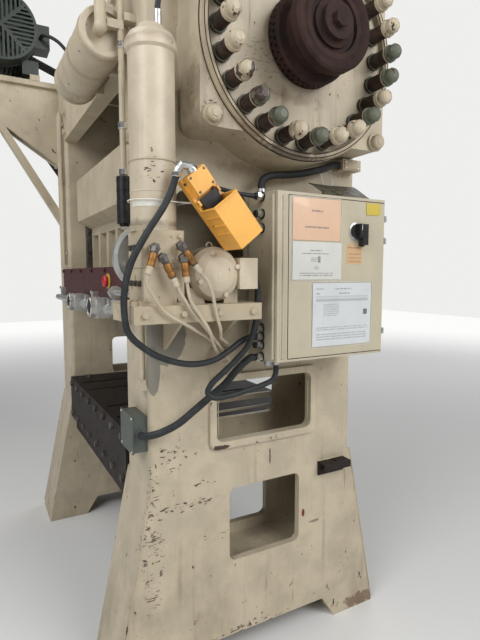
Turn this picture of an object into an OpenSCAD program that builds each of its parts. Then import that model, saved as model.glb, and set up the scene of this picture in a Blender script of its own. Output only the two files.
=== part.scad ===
// Straight-side stamping press: two hollow uprights, a crown with an eccentric crankshaft, a slide
// hung from two pitmans, a bed with a slotted bolster, a spring-set brake on the right-hand side,
// a belt-driven flywheel on the left, a hydraulic unit, a control enclosure and a foot switch.
// X runs left to right, the operator stands on the -Y side, Z is up and the floor is Z = 0.

/* [Frame] */
// Width over the outer faces of the uprights
frame_w = 1850; // [1800:10:1950]
// Height of the uprights
frame_h = 2850; // [2840:10:2950]
// Width of one upright, left to right
upright_w = 300; // [285:5:320]
// Depth of the columns, front to back
column_d = 940; // [930:5:960]
// Depth over the feet at the floor
base_d = 1260; // [1200:10:1340]
// Height where the columns start to flare out
flare_z = 790; // [770:5:810]
// Thickness of the frame plates
plate_t = 30; // [24:1:34]
// Radius on the vertical corners of the columns
corner_r = 26; // [12:1:30]

/* [Feet and windows] */
// Length of a foot along the floor
foot_len = 230; // [200:5:260]
// Thickness of a foot pad
foot_t = 45; // [35:1:60]
// Height of the arch between the feet
arch_z = 105; // [80:5:130]
// Diameter of the anchor holes
anchor_d = 28; // [22:1:34]
// Width of the lower window
low_win_w = 340; // [320:5:350]
// Height of the lower window
low_win_h = 305; // [290:5:310]
// Width of the feed window
feed_win_w = 448; // [430:2:456]
// Height of the feed window
feed_win_h = 237; // [226:1:244]
// Width of the slide window
gib_win_w = 290; // [276:2:300]
// Height of the slide window
gib_win_h = 360; // [340:5:370]
// Radius in the corners of the windows
win_r = 30; // [15:1:40]
// Width of the raised border round the feed window
border_w = 28; // [20:1:34]
// Height of the raised border
border_t = 12; // [6:1:16]

/* [Bed and bolster] */
// Height of the bolster's top over the floor
bolster_z = 930; // [926:1:934]
// Thickness of the bolster
bolster_t = 90; // [80:1:100]
// Depth of the bolster
bolster_d = 900; // [860:5:904]
// Depth of the bed box under the bolster
bed_h = 250; // [220:5:280]
// Width of a bolster slot at its mouth
slot_w = 22; // [18:1:26]
// Distance between the bolster slots
slot_pitch = 200; // [180:5:210]
// Height of the dark plate across the front of the bed
apron_h = 255; // [240:5:270]
// Thickness of that plate
apron_t = 28; // [20:1:34]
// Diameter of the bolster hold-down bolts
hold_d = 24; // [20:1:30]

/* [Crown] */
// Height of the crown's top plate
crown_z = 2700; // [2680:5:2720]
// Height of the lower edge of the crown's front plate
crown_front_z = 2390; // [2370:5:2410]
// Height of the lower edge of the crown's rear plate
crown_rear_z = 2160; // [2120:5:2200]

/* [Crankshaft and pitmans] */
// Crank axis behind the middle of the frame
crank_y = 50; // [40:1:60]
// Height of the crank axis
crank_z = 2387; // [2380:1:2395]
// Length of the slide's stroke
stroke = 76; // [60:2:80]
// Diameter of the main journals
journal_d = 160; // [150:2:166]
// Diameter of the eccentrics
eccentric_d = 246; // [246:1:256]
// Width of one eccentric
eccentric_w = 120; // [100:2:140]
// Distance of each pitman from the middle
pitman_x = 300; // [280:5:320]
// Running clearance of shafts in their bearings
run_gap = 0.05; // [0.03:0.01:0.08]
// Wall of the bearing bushes
bush_wall = 30; // [24:1:34]
// Wall of the pitman strap
strap_wall = 50; // [40:1:55]
// Diameter of the adjusting screw under the strap
screw_d = 104; // [90:2:110]
// Diameter of the ball at its lower end
ball_d = 150; // [140:2:156]
// Distance from the eccentric down to the ball
pitman_len = 475; // [465:5:485]

/* [Slide] */
// Room between the slide and each upright, where the ways stand
slide_gap = 50; // [48:1:55]
// Front face of the slide's lower part
slide_front_y = -330; // [-340:1:-320]
// Depth of the slide
slide_d = 760; // [740:5:780]
// Height of the slide's lower face at the top of the stroke
slide_z = 1500; // [1490:5:1510]
// Height of the slide
slide_h = 657; // [650:1:662]
// Height of the deep block along its top
slide_block_h = 257; // [240:1:270]
// How far that block stands out at the front
slide_nose = 84; // [70:1:90]
// Depth of the pockets in the slide's front
slide_pocket = 90; // [70:5:110]
// Depth of one way, front to back
way_d = 90; // [80:1:100]
// Clearance between sliding ways and gibs
way_gap = 0.3; // [0.2:0.05:0.5]
// Thickness of a gib bar
gib_t = 40; // [34:1:46]

/* [Brake unit] */
// Width of the brake housing, front to back
housing_w = 790; // [780:2:794]
// Height of the brake housing
housing_h = 650; // [640:2:660]
// Radius of its corners
housing_r = 45; // [36:1:50]
// How far the housing stands off the upright
housing_t = 180; // [170:2:190]
// Radius of the raised ring's inside
ring_r = 372; // [368:1:380]
// Width of the raised ring
ring_w = 26; // [20:1:30]
// Height of the raised ring
ring_t = 26; // [18:1:32]
// Number of spring cups
cup_count = 24; // [24:1:26]
// Radius of the circle that the cups stand on
cup_ring_r = 334; // [333:1:337]
// Diameter of a cup's barrel
cup_d = 52; // [46:1:54]
// Length of a cup's barrel
cup_len = 86; // [76:1:96]
// Diameter of a cup's cap
cap_d = 60; // [56:1:62]
// Length of a cup's cap
cap_len = 48; // [42:1:54]
// Diameter of the brake drum
drum_d = 312; // [296:2:320]
// Width of the brake drum
drum_w = 178; // [170:2:186]

/* [Flywheel drive] */
// Diameter of the flywheel
flywheel_d = 860; // [820:5:880]
// Width of its rim
flywheel_w = 180; // [170:2:190]
// Distance from the left upright to the flywheel
flywheel_gap = 226; // [220:2:240]
// Diameter of the shaft's flywheel seat
seat_d = 140; // [130:2:146]
// Diameter of the motor pulley over its belts
pulley_d = 230; // [210:2:250]
// Number of drive belts
belt_count = 5; // [4:1:5]
// Distance between belts
belt_pitch = 26; // [25:1:28]

/* [Main motor] */
// Front-to-back place of the motor's axis
motor_y = -790; // [-796:1:-784]
// Radius of the motor's finned body
motor_r = 205; // [195:1:212]
// Length of the finned body
motor_len = 380; // [365:5:385]
// Number of cooling fins
fin_count = 44; // [36:1:48]
// Right-hand face of the motor bracket
bracket_x = -812; // [-818:1:-806]
// Height of the bracket's platform
platform_z = 2772; // [2766:1:2778]
// How far the platform reaches in front of the column
platform_reach = 540; // [530:5:560]

/* [Air tank] */
// Radius of the air tank
tank_r = 88; // [80:1:92]
// Length of the air tank
tank_len = 545; // [520:5:560]
// Right-hand end of the tank
tank_x = 811; // [800:1:820]
// Height of the tank's axis
tank_z = 2415; // [2410:1:2425]

/* [Hydraulic unit] */
// Height of the shelf's top
shelf_z = 1484; // [1480:1:1488]
// How far the shelf stands out from the upright
shelf_w = 243; // [236:1:250]
// Depth of the shelf's lip
shelf_lip = 55; // [48:1:62]
// Height of one valve block
block_h = 116; // [112:1:120]
// Diameter of the oil reservoir
reservoir_d = 146; // [140:1:150]
// Height of the reservoir's shell
reservoir_h = 590; // [570:5:610]
// Radius of the pump motor
pump_r = 92; // [86:1:93]
// Length of the pump motor
pump_len = 175; // [165:1:180]

/* [Control enclosure] */
// Width, height and depth of the enclosure
box_w = 501; // [490:1:510]
// Height of the enclosure
box_h = 606; // [596:1:616]
// Depth of the enclosure's body
box_d = 178; // [170:1:184]
// Height of the enclosure's underside
box_z = 1265; // [1260:1:1270]
// Left edge of the enclosure, seen from in front of its door
box_y = -76; // [-80:1:-72]
// Distance between the enclosure and the upright
box_gap = 25; // [20:1:30]
// Sheet thickness of the enclosure
box_t = 3; // [2:0.5:4]
// Depth of the door's edge
door_d = 22; // [18:1:26]

/* [Foot switch] */
// Length of the foot switch's base
pedal_len = 262; // [255:1:270]
// Width of the foot switch
pedal_w = 96; // [90:1:100]
// Height of the guard hood
hood_h = 92; // [86:1:98]
// Slope of the hanging foot switch from the vertical
pedal_tilt = 39; // [37:0.5:41]

/* [Controls] */
// Height of the guard plate across the front
guard_h = 162; // [150:1:176]
// Height of its lower edge
guard_z = 1450; // [1446:1:1454]
// Diameter of the palm buttons
palm_d = 58; // [50:1:62]
// Travel of the push buttons
button_travel = 6; // [4:0.5:8]

/* [Hidden] */

// Looks
cream = [0.80, 0.74, 0.62];
dark_steel = [0.17, 0.14, 0.12];
oily_steel = [0.33, 0.31, 0.29];
rust_red = [0.30, 0.17, 0.13];
cap_green = [0.36, 0.42, 0.33];
cup_brown = [0.30, 0.22, 0.18];
motor_green = [0.16, 0.20, 0.17];
signal_yellow = [0.88, 0.62, 0.20];
guard_red = [0.42, 0.15, 0.12];
cable_grey = [0.13, 0.14, 0.15];
zinc = [0.62, 0.64, 0.64];
brass = [0.66, 0.44, 0.22];
box_beige = [0.74, 0.70, 0.60];
black = [0.05, 0.05, 0.06];
stop_red = [0.75, 0.08, 0.10];

// Frame
low_win = [low_win_w, low_win_h];
low_win_at = [22, 577];
feed_win = [feed_win_w, feed_win_h];
feed_win_at = [16, 1048];
gib_win = [gib_win_w, gib_win_h];
gib_win_at = [-215, 1700];
seat = 0.3;
side_x = frame_w / 2;
inner_x = side_x - upright_w;
front_y = -column_d / 2;
rear_y = column_d / 2;
foot_run = 70;
rib_z = [arch_z + 250, low_win_at[1] + low_win[1] / 2 + 70, feed_win_at[1] + feed_win[1] / 2 + 80,
  gib_win_at[1] + gib_win[1] / 2 + 90];
anchor_y = base_d / 2 - foot_len / 2;
boss_r = journal_d / 2 + bush_wall + 45;
bush_r = journal_d / 2 + bush_wall;

// Bed
bed_z = bolster_z - bolster_t;
bed_front_y = front_y + 20;
bolster_hole = [260, 200];
slot_head_w = slot_w * 1.8;
slot_head_h = slot_w * 0.75;
hold_at = [inner_x - 75, bolster_d / 2 - 70];
apron_rows = [bolster_z - apron_h + 34, bolster_z - 34];
apron_cols = 8;
die_hole_d = 20;
die_hole_y = 260;

// Crank train
throw = stroke / 2;
bush_flange_r = bush_r + 24;
bush_flange_t = 18;
fly_hub = 14;
end_plate_t = 20;
shaft_left = -side_x - flywheel_gap - flywheel_w - fly_hub - 1.5 - end_plate_t;
housing_x = side_x + housing_t;
drum_gap = 14;
drum_x = housing_x + drum_gap;
hub_x = drum_x + drum_w;
strap_r = eccentric_d / 2 + strap_wall;
ball_z = crank_z + throw - pitman_len;
stub_r = 50;

// Slide
slide_w = 2 * (inner_x - slide_gap);
slide_top = slide_z + slide_h;
slide_y0 = slide_front_y;
slide_y1 = slide_front_y + slide_d;
well_r = ball_d / 2 + throw + 6;
well_z = ball_z - ball_d / 2 - stroke - 6;
way_x0 = slide_w / 2;
way_x1 = inner_x - way_gap;
way_z0 = slide_z + 120;
way_z1 = slide_top - 30;
way_front_y = slide_y0 + 10;
way_rear_y = slide_y1 - 10 - way_d;
gib_x0 = slide_w / 2 + 10;
gib_z0 = slide_z + 10;
gib_h = way_z1 - gib_z0 + 30;
slide_rib_w = 46;
slide_ribs = 7;
slide_middle = 2 * (pitman_x - well_r - 30);
slide_hole_d = 20;
slide_hole_at = [350, 200];

// Brake unit
corner_bolt = [housing_w / 2 - 41, housing_h / 2 - 34];
cup_x = housing_x;
cap_x = cup_x + cup_len;
green_caps = [3, 4, 6, 9, 11, 12, 15, 18, 21];
cup_phase = 181;
step_y = [290, 430];
step_z = 760;
disc_r = ring_r - 60;
disc_room = 12;

// Flywheel drive
fly_x1 = -side_x - flywheel_gap;
fly_x0 = fly_x1 - flywheel_w;
groove_r = flywheel_d / 2 - 14;
belt_h = 11;
belt_w = 11;
belt_mid_x = (fly_x0 + fly_x1) / 2;
motor_foot = 24;
rail_h = 32;
foot_z = platform_z + rail_h;
motor_z = foot_z + motor_r + motor_foot;
motor_x1 = bracket_x + 40;
motor_x0 = motor_x1 - motor_len;
rotor_d = 55;
pulley_r = pulley_d / 2 - 14;
cover_len = 72;
vent_rib = 14;
vent_pitch = 24;
vent_slots = 5;

// Motor bracket
platform_t = 30;
panel_t = 28;
panel_h = 496;
brace_z = platform_z - 880;

// Air tank
tank_y = front_y - tank_r - 11;
tank_rim = 22;
pipe_y = front_y - 50;
pipe_gap = 18;
inlet_y = tank_y - 21;
inlet_r = 20;
far_pipe_x = -655;
far_pipe_z = [1640, 2560];
side_rod_gap = 31;
side_rod_y = crank_y - housing_w / 2 - side_rod_gap;
side_rod_z = [1975, 2215];
conduit_x = 876;
conduit_z = [1160, 1456];
pipe_x = tank_x + pipe_gap;
pipe_d = 22;
muffler_z = [1760, 1925];

// Hydraulic unit
shelf_x1 = side_x + shelf_w;
shelf_y = [-594, -150];
shelf_t = 12;
block_s = [153, 132];
reservoir_at = [1056, -490];
block_z = shelf_z;
block_x = reservoir_at[0] + 92 - block_s[0];
block_top = block_z + 2 * block_h;
reservoir_cap_h = 38;
swivel_from = [[-529, 1659], [-505, 1630], [-446, 1668], [-439, 1631]];
swivel_to = [[-556, 1582], [-466, 1545], [-389, 1588], [-433, 1557]];
bulkhead = [970, -196, 1272];
swivel_x = block_x + block_s[0] + 26;
swivel_d = 20;
wheel_r = 112;
wheel_at = [-484, 1636];
pump_y = -302;
pump_z = shelf_z + pump_r + 5;
pump_x1 = shelf_x1 - 6;

// Control enclosure
box_x = side_x + box_gap;
box_y1 = box_y + box_w;
door_x = box_x + box_d + seat;
hinge_r = 5;
hinge_at = [door_x + 4, box_y - hinge_r - 1];
clamp_z = [box_z + 90, box_z + box_h - 160, box_z + box_h - 75];
clamp_pin_x = door_x - 16;
clamp_pin_r = 4;
handle_at = [box_y + 356, box_z + 478];
handle_r = 8;
gland_top = [1860, 1798, 1748];
gland_low = [1381, 1351, 1320, 1275];
gland_floor = [-50, -14];

// Foot switch, hung on the right-hand side
pedal_x = reservoir_at[0] + reservoir_d / 2 + 12;
pedal_mid = [-322, 1790];
hood_len = 150;
sheet_t = 4;
pivot_at = [-pedal_len / 2 + 86, 32];
pivot_r = 5;

// Controls
guard_x = inner_x + 62;
guard_y = front_y - 12;
guard_t = 8;
bar_d = 34;
bar_y = guard_y - 34;
bar_z = guard_z - 14;
tube_z = guard_z + 58;
palm_x = [-10, 470];
palm_z = bar_z + 6;
stop_at = [450, guard_z + 100];

junction_w = [745, 890];
junction_h = [930, 1064];

// Routes of the cables, hoses and string
elbow_route = [[1183, -405, 1892.4], [1183, -417, 1907], [1178, -440, 1910], [1172, -452, 1894],
  [1169, -456, 1878]];
foot_cable_route = [[1169, -456, 1878], [1163, -464, 1846], [1163, -492, 1788], [1162, -545, 1708],
  [1150, -592, 1620], [1140, -612, 1540], [1136, -614, 1460], [1130, -600, 1400], [1120, -530, 1336],
  [1108, -450, 1298], [1094, -370, 1280], [1080, -290, 1284], [1062, -220, 1310], [1052, -160, 1342],
  [1050, -126, 1351], [1050, -110, 1351]];
junction_route = [[905, -500, 1000], [918, -500, 1000], [944, -490, 1006], [975, -455, 1020],
  [990, -390, 1048],
  [994, -330, 1088], [1000, -270, 1132], [1012, -210, 1180], [1030, -170, 1232], [1046, -138, 1266],
  [1050, -124, 1275], [1050, -110, 1275]];
pump_route = [[1100, -158, 1560], [1100, -144, 1560], [1100, -128, 1540], [1100, -126, 1490],
  [1100, -130, 1430], [1098, -140, 1380], [1090, -156, 1330], [1076, -196, 1280], [1066, -248, 1232],
  [1056, -288, 1194], [1052, -300, 1164], [1058, -280, 1146], [1066, -220, 1148], [1070, -150, 1160],
  [1066, -80, 1172], [1056, -30, 1186], [1050, -14, 1210], [1050, -14, 1240]];
crown_route = [[1000, -50, 1896], [1000, -50, 1916], [1002, -38, 1936], [1004, 0, 1950], [1002, 60, 1958],
  [998, 130, 1970], [990, 200, 1988], [978, 266, 2008], [964, 310, 2026],
  [960, 334, 2030], [960, 350, 2030]];
sensor_route = [[1050, -110, 1860], [1050, -124, 1860], [1046, -150, 1862], [1032, -196, 1870],
  [1000, -240, 1886],
  [941, -262, 1906]];
motor_route = [[-792, -562, 3030], [-780, -562, 3030], [-760, -556, 3036], [-732, -530, 3030],
  [-708, -476, 3000], [-702, -420, 2944], [-700, -392, 2894], [-700, -390, 2864]];
float_route = [[1056, -466, 2400], [1056, -466, 2414], [1056, -462, 2440], [1053, -452, 2480],
  [1040, -436, 2530], [1010, -418, 2580], [975, -404, 2612], [950, -400, 2624], [937, -400, 2626]];
hose_routes = [
  [[1191, -556, 1582], [1187, -560, 1555], [1184, -540, 1519], [1183, -503, 1467], [1179, -419, 1416],
    [1110, -325, 1368], [1040, -262, 1328], [1000, -224, 1296], [980, -212, 1286], [970, -212, 1286]],
  [[1191, -465, 1543], [1187, -445, 1511], [1184, -414, 1467], [1178, -367, 1413], [1100, -294, 1358],
    [1040, -238, 1312], [1000, -196, 1272], [980, -180, 1258], [970, -180, 1258]],
  [[1191, -433, 1557], [1190, -428, 1526], [1194, -420, 1495], [1197, -396, 1459], [1196, -362, 1406],
    [1112, -306, 1346], [1050, -262, 1304], [1000, -226, 1270], [980, -212, 1258],
    [970, -212, 1258]],
  [[1191, -389, 1588], [1188, -364, 1563], [1184, -345, 1525], [1182, -334, 1483], [1180, -322, 1434],
    [1176, -312, 1408], [1140, -292, 1380], [1100, -272, 1364], [1040, -214, 1330], [1000, -188, 1300],
    [980, -180, 1286], [970, -180, 1286]]];
tie_route = [[1139, -368, 1806], [1122, -444, 1807], [1136, -483, 1808], [1129, -524, 1809],
  [1102, -556, 1810], [1063, -570, 1811], [1022, -563, 1811], [990, -536, 1811], [976, -497, 1811],
  [983, -456, 1810], [1010, -424, 1809], [1049, -410, 1808], [1094, -396, 1808], [1139, -356, 1806]];
cable_d = 21;
junction_cable_d = 27;
crown_cable_d = 28;
sensor_cable_d = 16;
float_cable_d = 18;
hose_d = 11;
string_d = 4;

// Box from the ranges of its sides
module block(x, y, z) {
  translate([x[0], y[0], z[0]]) cube([x[1] - x[0], y[1] - y[0], z[1] - z[0]]);
}

// Rectangle with true round corners, about its middle
module round_rect(w, h, r) {
  square([w - 2 * r, h], center = true);
  square([w, h - 2 * r], center = true);
  for (sx = [-1, 1], sy = [-1, 1])
    translate([sx * (w / 2 - r), sy * (h / 2 - r)]) circle(r = r, $fn = 48);
}

// A side view, drawn as [Y, Z], made into a slab from x0 to x1
module side_slab(x0, x1) {
  translate([x0, 0, 0]) rotate([90, 0, 90]) linear_extrude(x1 - x0) children();
}

// A front view, drawn as [X, Z], made into a slab from y0 to y1
module front_slab(y0, y1) {
  translate([0, y1, 0]) rotate([90, 0, 0]) linear_extrude(y1 - y0) children();
}

// Cylinder along X
module rod_x(x0, x1, y, z, r, fn = 64) {
  translate([x0, y, z]) rotate([0, 90, 0]) cylinder(h = x1 - x0, r = r, $fn = fn);
}

// Cylinder along Y
module rod_y(y0, y1, x, z, r, fn = 48) {
  translate([x, y1, z]) rotate([90, 0, 0]) cylinder(h = y1 - y0, r = r, $fn = fn);
}

// Turned shape about the X axis at (y, z): its profile is drawn as [radius, distance along X]
module turned_x(x0, y, z, fn = 64) {
  translate([x0, y, z]) rotate([0, 90, 0]) rotate_extrude($fn = fn) children();
}

// Hexagon head along X
module hex_x(x0, x1, y, z, across) {
  rod_x(x0, x1, y, z, across / sqrt(3), 6);
}

// Hexagon head along Y
module hex_y(y0, y1, x, z, across) {
  rod_y(y0, y1, x, z, across / sqrt(3), 6);
}

// Unit vectors and frames carried along a route
function unit(v) = v / norm(v);
function finish(route) = route[len(route) - 1];
function along(p, i) = i == 0 ? unit(p[1] - p[0])
  : i == len(p) - 1 ? unit(p[i] - p[i - 1])
  : unit(unit(p[i + 1] - p[i]) + unit(p[i] - p[i - 1]));
function carried(n, t) = unit(n - (n * t) * t);
function sides(p, i, n) = i == len(p) ? []
  : let (m = carried(n, along(p, i))) concat([m], sides(p, i + 1, m));

// Round tube swept along a route
module tube(route, d, count = 8) {
  last = len(route) - 1;
  normal = sides(route, 0, [0.31, 0.17, 0.93]);
  ring = [for (i = [0:last]) let (t = along(route, i), n = normal[i], b = cross(t, n))
    for (k = [0:count - 1]) let (a = 360 * k / count)
      route[i] + d / 2 * (cos(a) * n + sin(a) * b)];
  walls = [for (i = [0:last - 1]) for (k = [0:count - 1]) let (j = (k + 1) % count)
    [i * count + k, (i + 1) * count + k, (i + 1) * count + j, i * count + j]];
  start = [for (k = [0:count - 1]) k];
  far = [for (k = [count - 1:-1:0]) last * count + k];
  polyhedron(points = ring, faces = concat(walls, [start, far]), convexity = 6);
}

// Side view of an upright: straight column, flared feet and the arch between them
module upright_outline() {
  half = base_d / 2;
  polygon([[-half, 0], [-half + foot_len, 0], [-half + foot_len + foot_run, arch_z],
    [half - foot_len - foot_run, arch_z], [half - foot_len, 0], [half, 0], [rear_y, flare_z],
    [rear_y, frame_h], [front_y, frame_h], [front_y, flare_z]]);
}

// Hollow of an upright, open between the feet
module upright_hollow() {
  half = base_d / 2 - plate_t;
  polygon([[-half, foot_t], [half, foot_t], [rear_y - plate_t, flare_z],
    [rear_y - plate_t, frame_h - plate_t], [front_y + plate_t, frame_h - plate_t],
    [front_y + plate_t, flare_z]]);
}

module window(size, at) {
  translate(at) round_rect(size[0], size[1], win_r);
}

module through_windows() {
  window(low_win, low_win_at);
  window(feed_win, feed_win_at);
}

// Sliver that rounds one vertical corner of a column
module corner_cut(x, y, sx, sy) {
  translate([x, y, flare_z])
    difference() {
      translate([sx > 0 ? -corner_r : -1, sy > 0 ? -corner_r : -1, 0])
        cube([corner_r + 1, corner_r + 1, frame_h]);
      translate([-sx * corner_r, -sy * corner_r, -1]) cylinder(h = frame_h + 2, r = corner_r, $fn = 48);
    }
}

// Right-hand upright
module upright() {
  difference() {
    union() {
      difference() {
        side_slab(inner_x, side_x) upright_outline();
        side_slab(inner_x + plate_t, side_x - plate_t) upright_hollow();
      }
      for (z = rib_z)
        block([inner_x + plate_t / 2, side_x - plate_t / 2], [front_y + plate_t / 2, rear_y - plate_t / 2],
          [z, z + 20]);
      rod_x(inner_x + plate_t / 2, side_x - plate_t / 2, crank_y, crank_z, boss_r);
      side_slab(side_x - 1, side_x + border_t)
        window(feed_win + [2 * border_w, 2 * border_w], feed_win_at);
    }
    side_slab(inner_x - 1, side_x + border_t + 1) through_windows();
    side_slab(side_x - plate_t - 1, side_x + 1) window(gib_win, gib_win_at);
    rod_x(inner_x - 1, side_x + 1, crank_y, crank_z, bush_r);
    for (sy = [-1, 1])
      translate([side_x - upright_w / 2, sy * anchor_y, -1])
        cylinder(h = foot_t + 2, r = anchor_d / 2, $fn = 32);
    corner_cut(side_x, front_y, 1, -1);
    corner_cut(side_x, rear_y, 1, 1);
    corner_cut(inner_x, front_y, -1, -1);
  }
}

module right_upright() {
  color(cream) upright();
}

module left_upright() {
  color(cream) mirror([1, 0, 0]) upright();
}

// Crown: front, rear and top plates with two webs
module crown() {
  color(cream) {
    difference() {
      union() {
        block([-inner_x, inner_x], [front_y, front_y + plate_t], [crown_front_z, crown_z]);
        block([-inner_x, inner_x], [rear_y - plate_t, rear_y], [crown_rear_z, crown_z]);
        block([-inner_x, inner_x], [front_y, rear_y], [crown_z - plate_t, crown_z]);
        block([-inner_x, inner_x], [front_y, front_y + 2.5 * plate_t],
          [crown_front_z, crown_front_z + plate_t]);
        for (sx = [-1, 1])
          side_slab(sx * inner_x / 3 - plate_t / 3, sx * inner_x / 3 + plate_t / 3)
            polygon([[front_y + plate_t / 2, crown_z - plate_t / 2], [front_y + plate_t / 2, crown_front_z],
              [front_y + 4 * plate_t, crown_front_z + 4 * plate_t],
              [rear_y - 4 * plate_t, crown_front_z + 4 * plate_t], [rear_y - plate_t / 2, crown_front_z],
              [rear_y - plate_t / 2, crown_z - plate_t / 2]]);
      }
      for (sx = [-1, 1])
        front_slab(rear_y - 2 * plate_t, rear_y + 1)
          translate([sx * inner_x / 1.6, (crown_rear_z + crown_z) / 2 - 20]) round_rect(260, 260, 40);
    }
  }
}

// Bed: a box of plates under the bolster with an opening for slugs
module bed() {
  color(oily_steel)
    difference() {
      block([-inner_x, inner_x], [bed_front_y, -bed_front_y], [bed_z - bed_h, bed_z]);
      for (i = [-1, 0, 1])
        block([i * inner_x * 2 / 3 - inner_x / 3 + (i < 0 ? -1 : plate_t / 2),
          i * inner_x * 2 / 3 + inner_x / 3 - (i > 0 ? -1 : plate_t / 2)],
          [bed_front_y + plate_t, -bed_front_y - plate_t], [bed_z - bed_h - 1, bed_z - 1.6 * plate_t]);
      translate([0, 0, bed_z - 2 * plate_t]) linear_extrude(3 * plate_t)
        round_rect(bolster_hole[0] + 60, bolster_hole[1] + 60, 30);
      for (sx = [-1, 1], sy = [-1, 1])
        translate([sx * hold_at[0], sy * hold_at[1], bed_z - 2 * plate_t])
          cylinder(h = 3 * plate_t, r = hold_d / 2, $fn = 32);
    }
}

// Bolster with T-slots from front to back
module bolster() {
  color(dark_steel)
    difference() {
      block([-inner_x + 4, inner_x - 4], [-bolster_d / 2, bolster_d / 2], [bed_z, bolster_z]);
      for (i = [-2:2]) if (i != 0) {
        block([i * slot_pitch - slot_w / 2, i * slot_pitch + slot_w / 2],
          [-bolster_d / 2 - 1, bolster_d / 2 + 1], [bolster_z - 1.6 * slot_w, bolster_z + 1]);
        block([i * slot_pitch - slot_head_w / 2, i * slot_pitch + slot_head_w / 2],
          [-bolster_d / 2 - 1, bolster_d / 2 + 1],
          [bolster_z - 1.6 * slot_w - slot_head_h, bolster_z - 1.6 * slot_w]);
      }
      translate([0, 0, bed_z - 1])
        linear_extrude(bolster_t + 2) round_rect(bolster_hole[0], bolster_hole[1], 24);
      for (sx = [-1, 1], sy = [-1, 1]) {
        translate([sx * hold_at[0], sy * hold_at[1], bed_z - 1])
          cylinder(h = bolster_t + 2, r = hold_d / 2, $fn = 32);
        translate([sx * (slot_pitch / 2), sy * die_hole_y, bolster_z - 50])
          cylinder(h = 51, r = die_hole_d / 2, $fn = 32);
      }
    }
}

// Dark plate across the front of the bed
module bed_apron() {
  color(dark_steel)
    difference() {
      block([-inner_x + 2, inner_x - 2], [bed_front_y - apron_t, bed_front_y],
        [bolster_z - apron_h, bolster_z]);
      for (z = apron_rows, i = [0:apron_cols - 1])
        rod_y(bed_front_y - apron_t - 1, bed_front_y + 1, apron_col_x(i), z, 9, 24);
    }
}

function apron_col_x(i) = (i - (apron_cols - 1) / 2) * (2 * inner_x - 110) / (apron_cols - 1);

// Cap screws in the apron and hold-down bolts in the bolster
module frame_bolts() {
  color(zinc) {
    for (z = apron_rows, i = [0:apron_cols - 1]) {
      hex_y(bed_front_y - apron_t - 12, bed_front_y - apron_t, apron_col_x(i), z, 27);
      rod_y(bed_front_y - apron_t, bed_front_y, apron_col_x(i), z, 9, 24);
    }
    for (sx = [-1, 1], sy = [-1, 1])
      translate([sx * hold_at[0], sy * hold_at[1], bolster_z]) {
        cylinder(h = hold_d * 0.65, r = hold_d * 0.87, $fn = 6);
        translate([0, 0, -bolster_t]) cylinder(h = bolster_t, r = hold_d / 2, $fn = 32);
      }
  }
}

// Gib bars in front of and behind each of the slide's ways
module slide_gibs() {
  color(cream)
    for (sx = [-1, 1], y = [way_front_y - way_gap - gib_t, way_front_y + way_d + way_gap,
        way_rear_y - way_gap - gib_t, way_rear_y + way_d + way_gap])
      difference() {
        block(sx > 0 ? [gib_x0, inner_x] : [-inner_x, -gib_x0], [y, y + gib_t], [gib_z0, gib_z0 + gib_h]);
        for (i = [0:4])
          rod_x(sx > 0 ? gib_x0 - 1 : -gib_x0 - 12, sx > 0 ? gib_x0 + 12 : -gib_x0 + 1, y + gib_t / 2,
            gib_z0 + gib_h * (i + 0.5) / 5, 11, 24);
      }
}

// Flanged bushes in the uprights
module crank_bushes() {
  color(brass)
    for (sx = [-1, 1]) mirror([sx < 0 ? 1 : 0, 0, 0])
      turned_x(inner_x - bush_flange_t, crank_y, crank_z)
        polygon([[journal_d / 2 + run_gap, 0], [bush_flange_r, 0], [bush_flange_r, bush_flange_t],
          [bush_r, bush_flange_t], [bush_r, bush_flange_t + upright_w],
          [journal_d / 2 + run_gap, bush_flange_t + upright_w]]);
}

// Crankshaft with two eccentrics, collars, the flywheel seat and the brake stub
module crankshaft() {
  color(oily_steel) {
    rod_x(-side_x - 30, housing_x - housing_t + 20, crank_y, crank_z, journal_d / 2);
    rod_x(side_x + 20, hub_x, crank_y, crank_z, stub_r);
    rod_x(shaft_left, -side_x - 30, crank_y, crank_z, seat_d / 2);
    for (sx = [-1, 1]) {
      rod_x(sx * pitman_x - eccentric_w / 2, sx * pitman_x + eccentric_w / 2, crank_y, crank_z + throw,
        eccentric_d / 2, 96);
      rod_x(sx > 0 ? inner_x - bush_flange_t - 40 : -inner_x + bush_flange_t + 1,
        sx > 0 ? inner_x - bush_flange_t - 1 : -inner_x + bush_flange_t + 40, crank_y, crank_z,
        bush_flange_r - 8);
    }
  }
}

// Pitman: strap round the eccentric, neck, adjusting screw and ball
module pitman(x) {
  color(oily_steel) translate([x, crank_y, 0])
    difference() {
      union() {
        rod_x(-eccentric_w / 2 + 4, eccentric_w / 2 - 4, 0, crank_z + throw, strap_r, 96);
        for (sy = [-1, 1])
          block([-eccentric_w / 2 + 12, eccentric_w / 2 - 12], [sy * strap_r - 26, sy * strap_r + 26],
            [crank_z + throw - 45, crank_z + throw + 45]);
        translate([0, 0, ball_z]) cylinder(h = pitman_len - eccentric_d / 2 - 6, r = screw_d / 2, $fn = 48);
        translate([0, 0, crank_z + throw - strap_r - 34]) cylinder(h = 60, r = screw_d / 2 + 18, $fn = 6);
        translate([0, 0, ball_z]) sphere(r = ball_d / 2, $fn = 48);
      }
      rod_x(-eccentric_w, eccentric_w, 0, crank_z + throw, eccentric_d / 2 + run_gap, 96);
    }
}

module left_pitman() {
  pitman(-pitman_x);
}

module right_pitman() {
  pitman(pitman_x);
}

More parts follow.
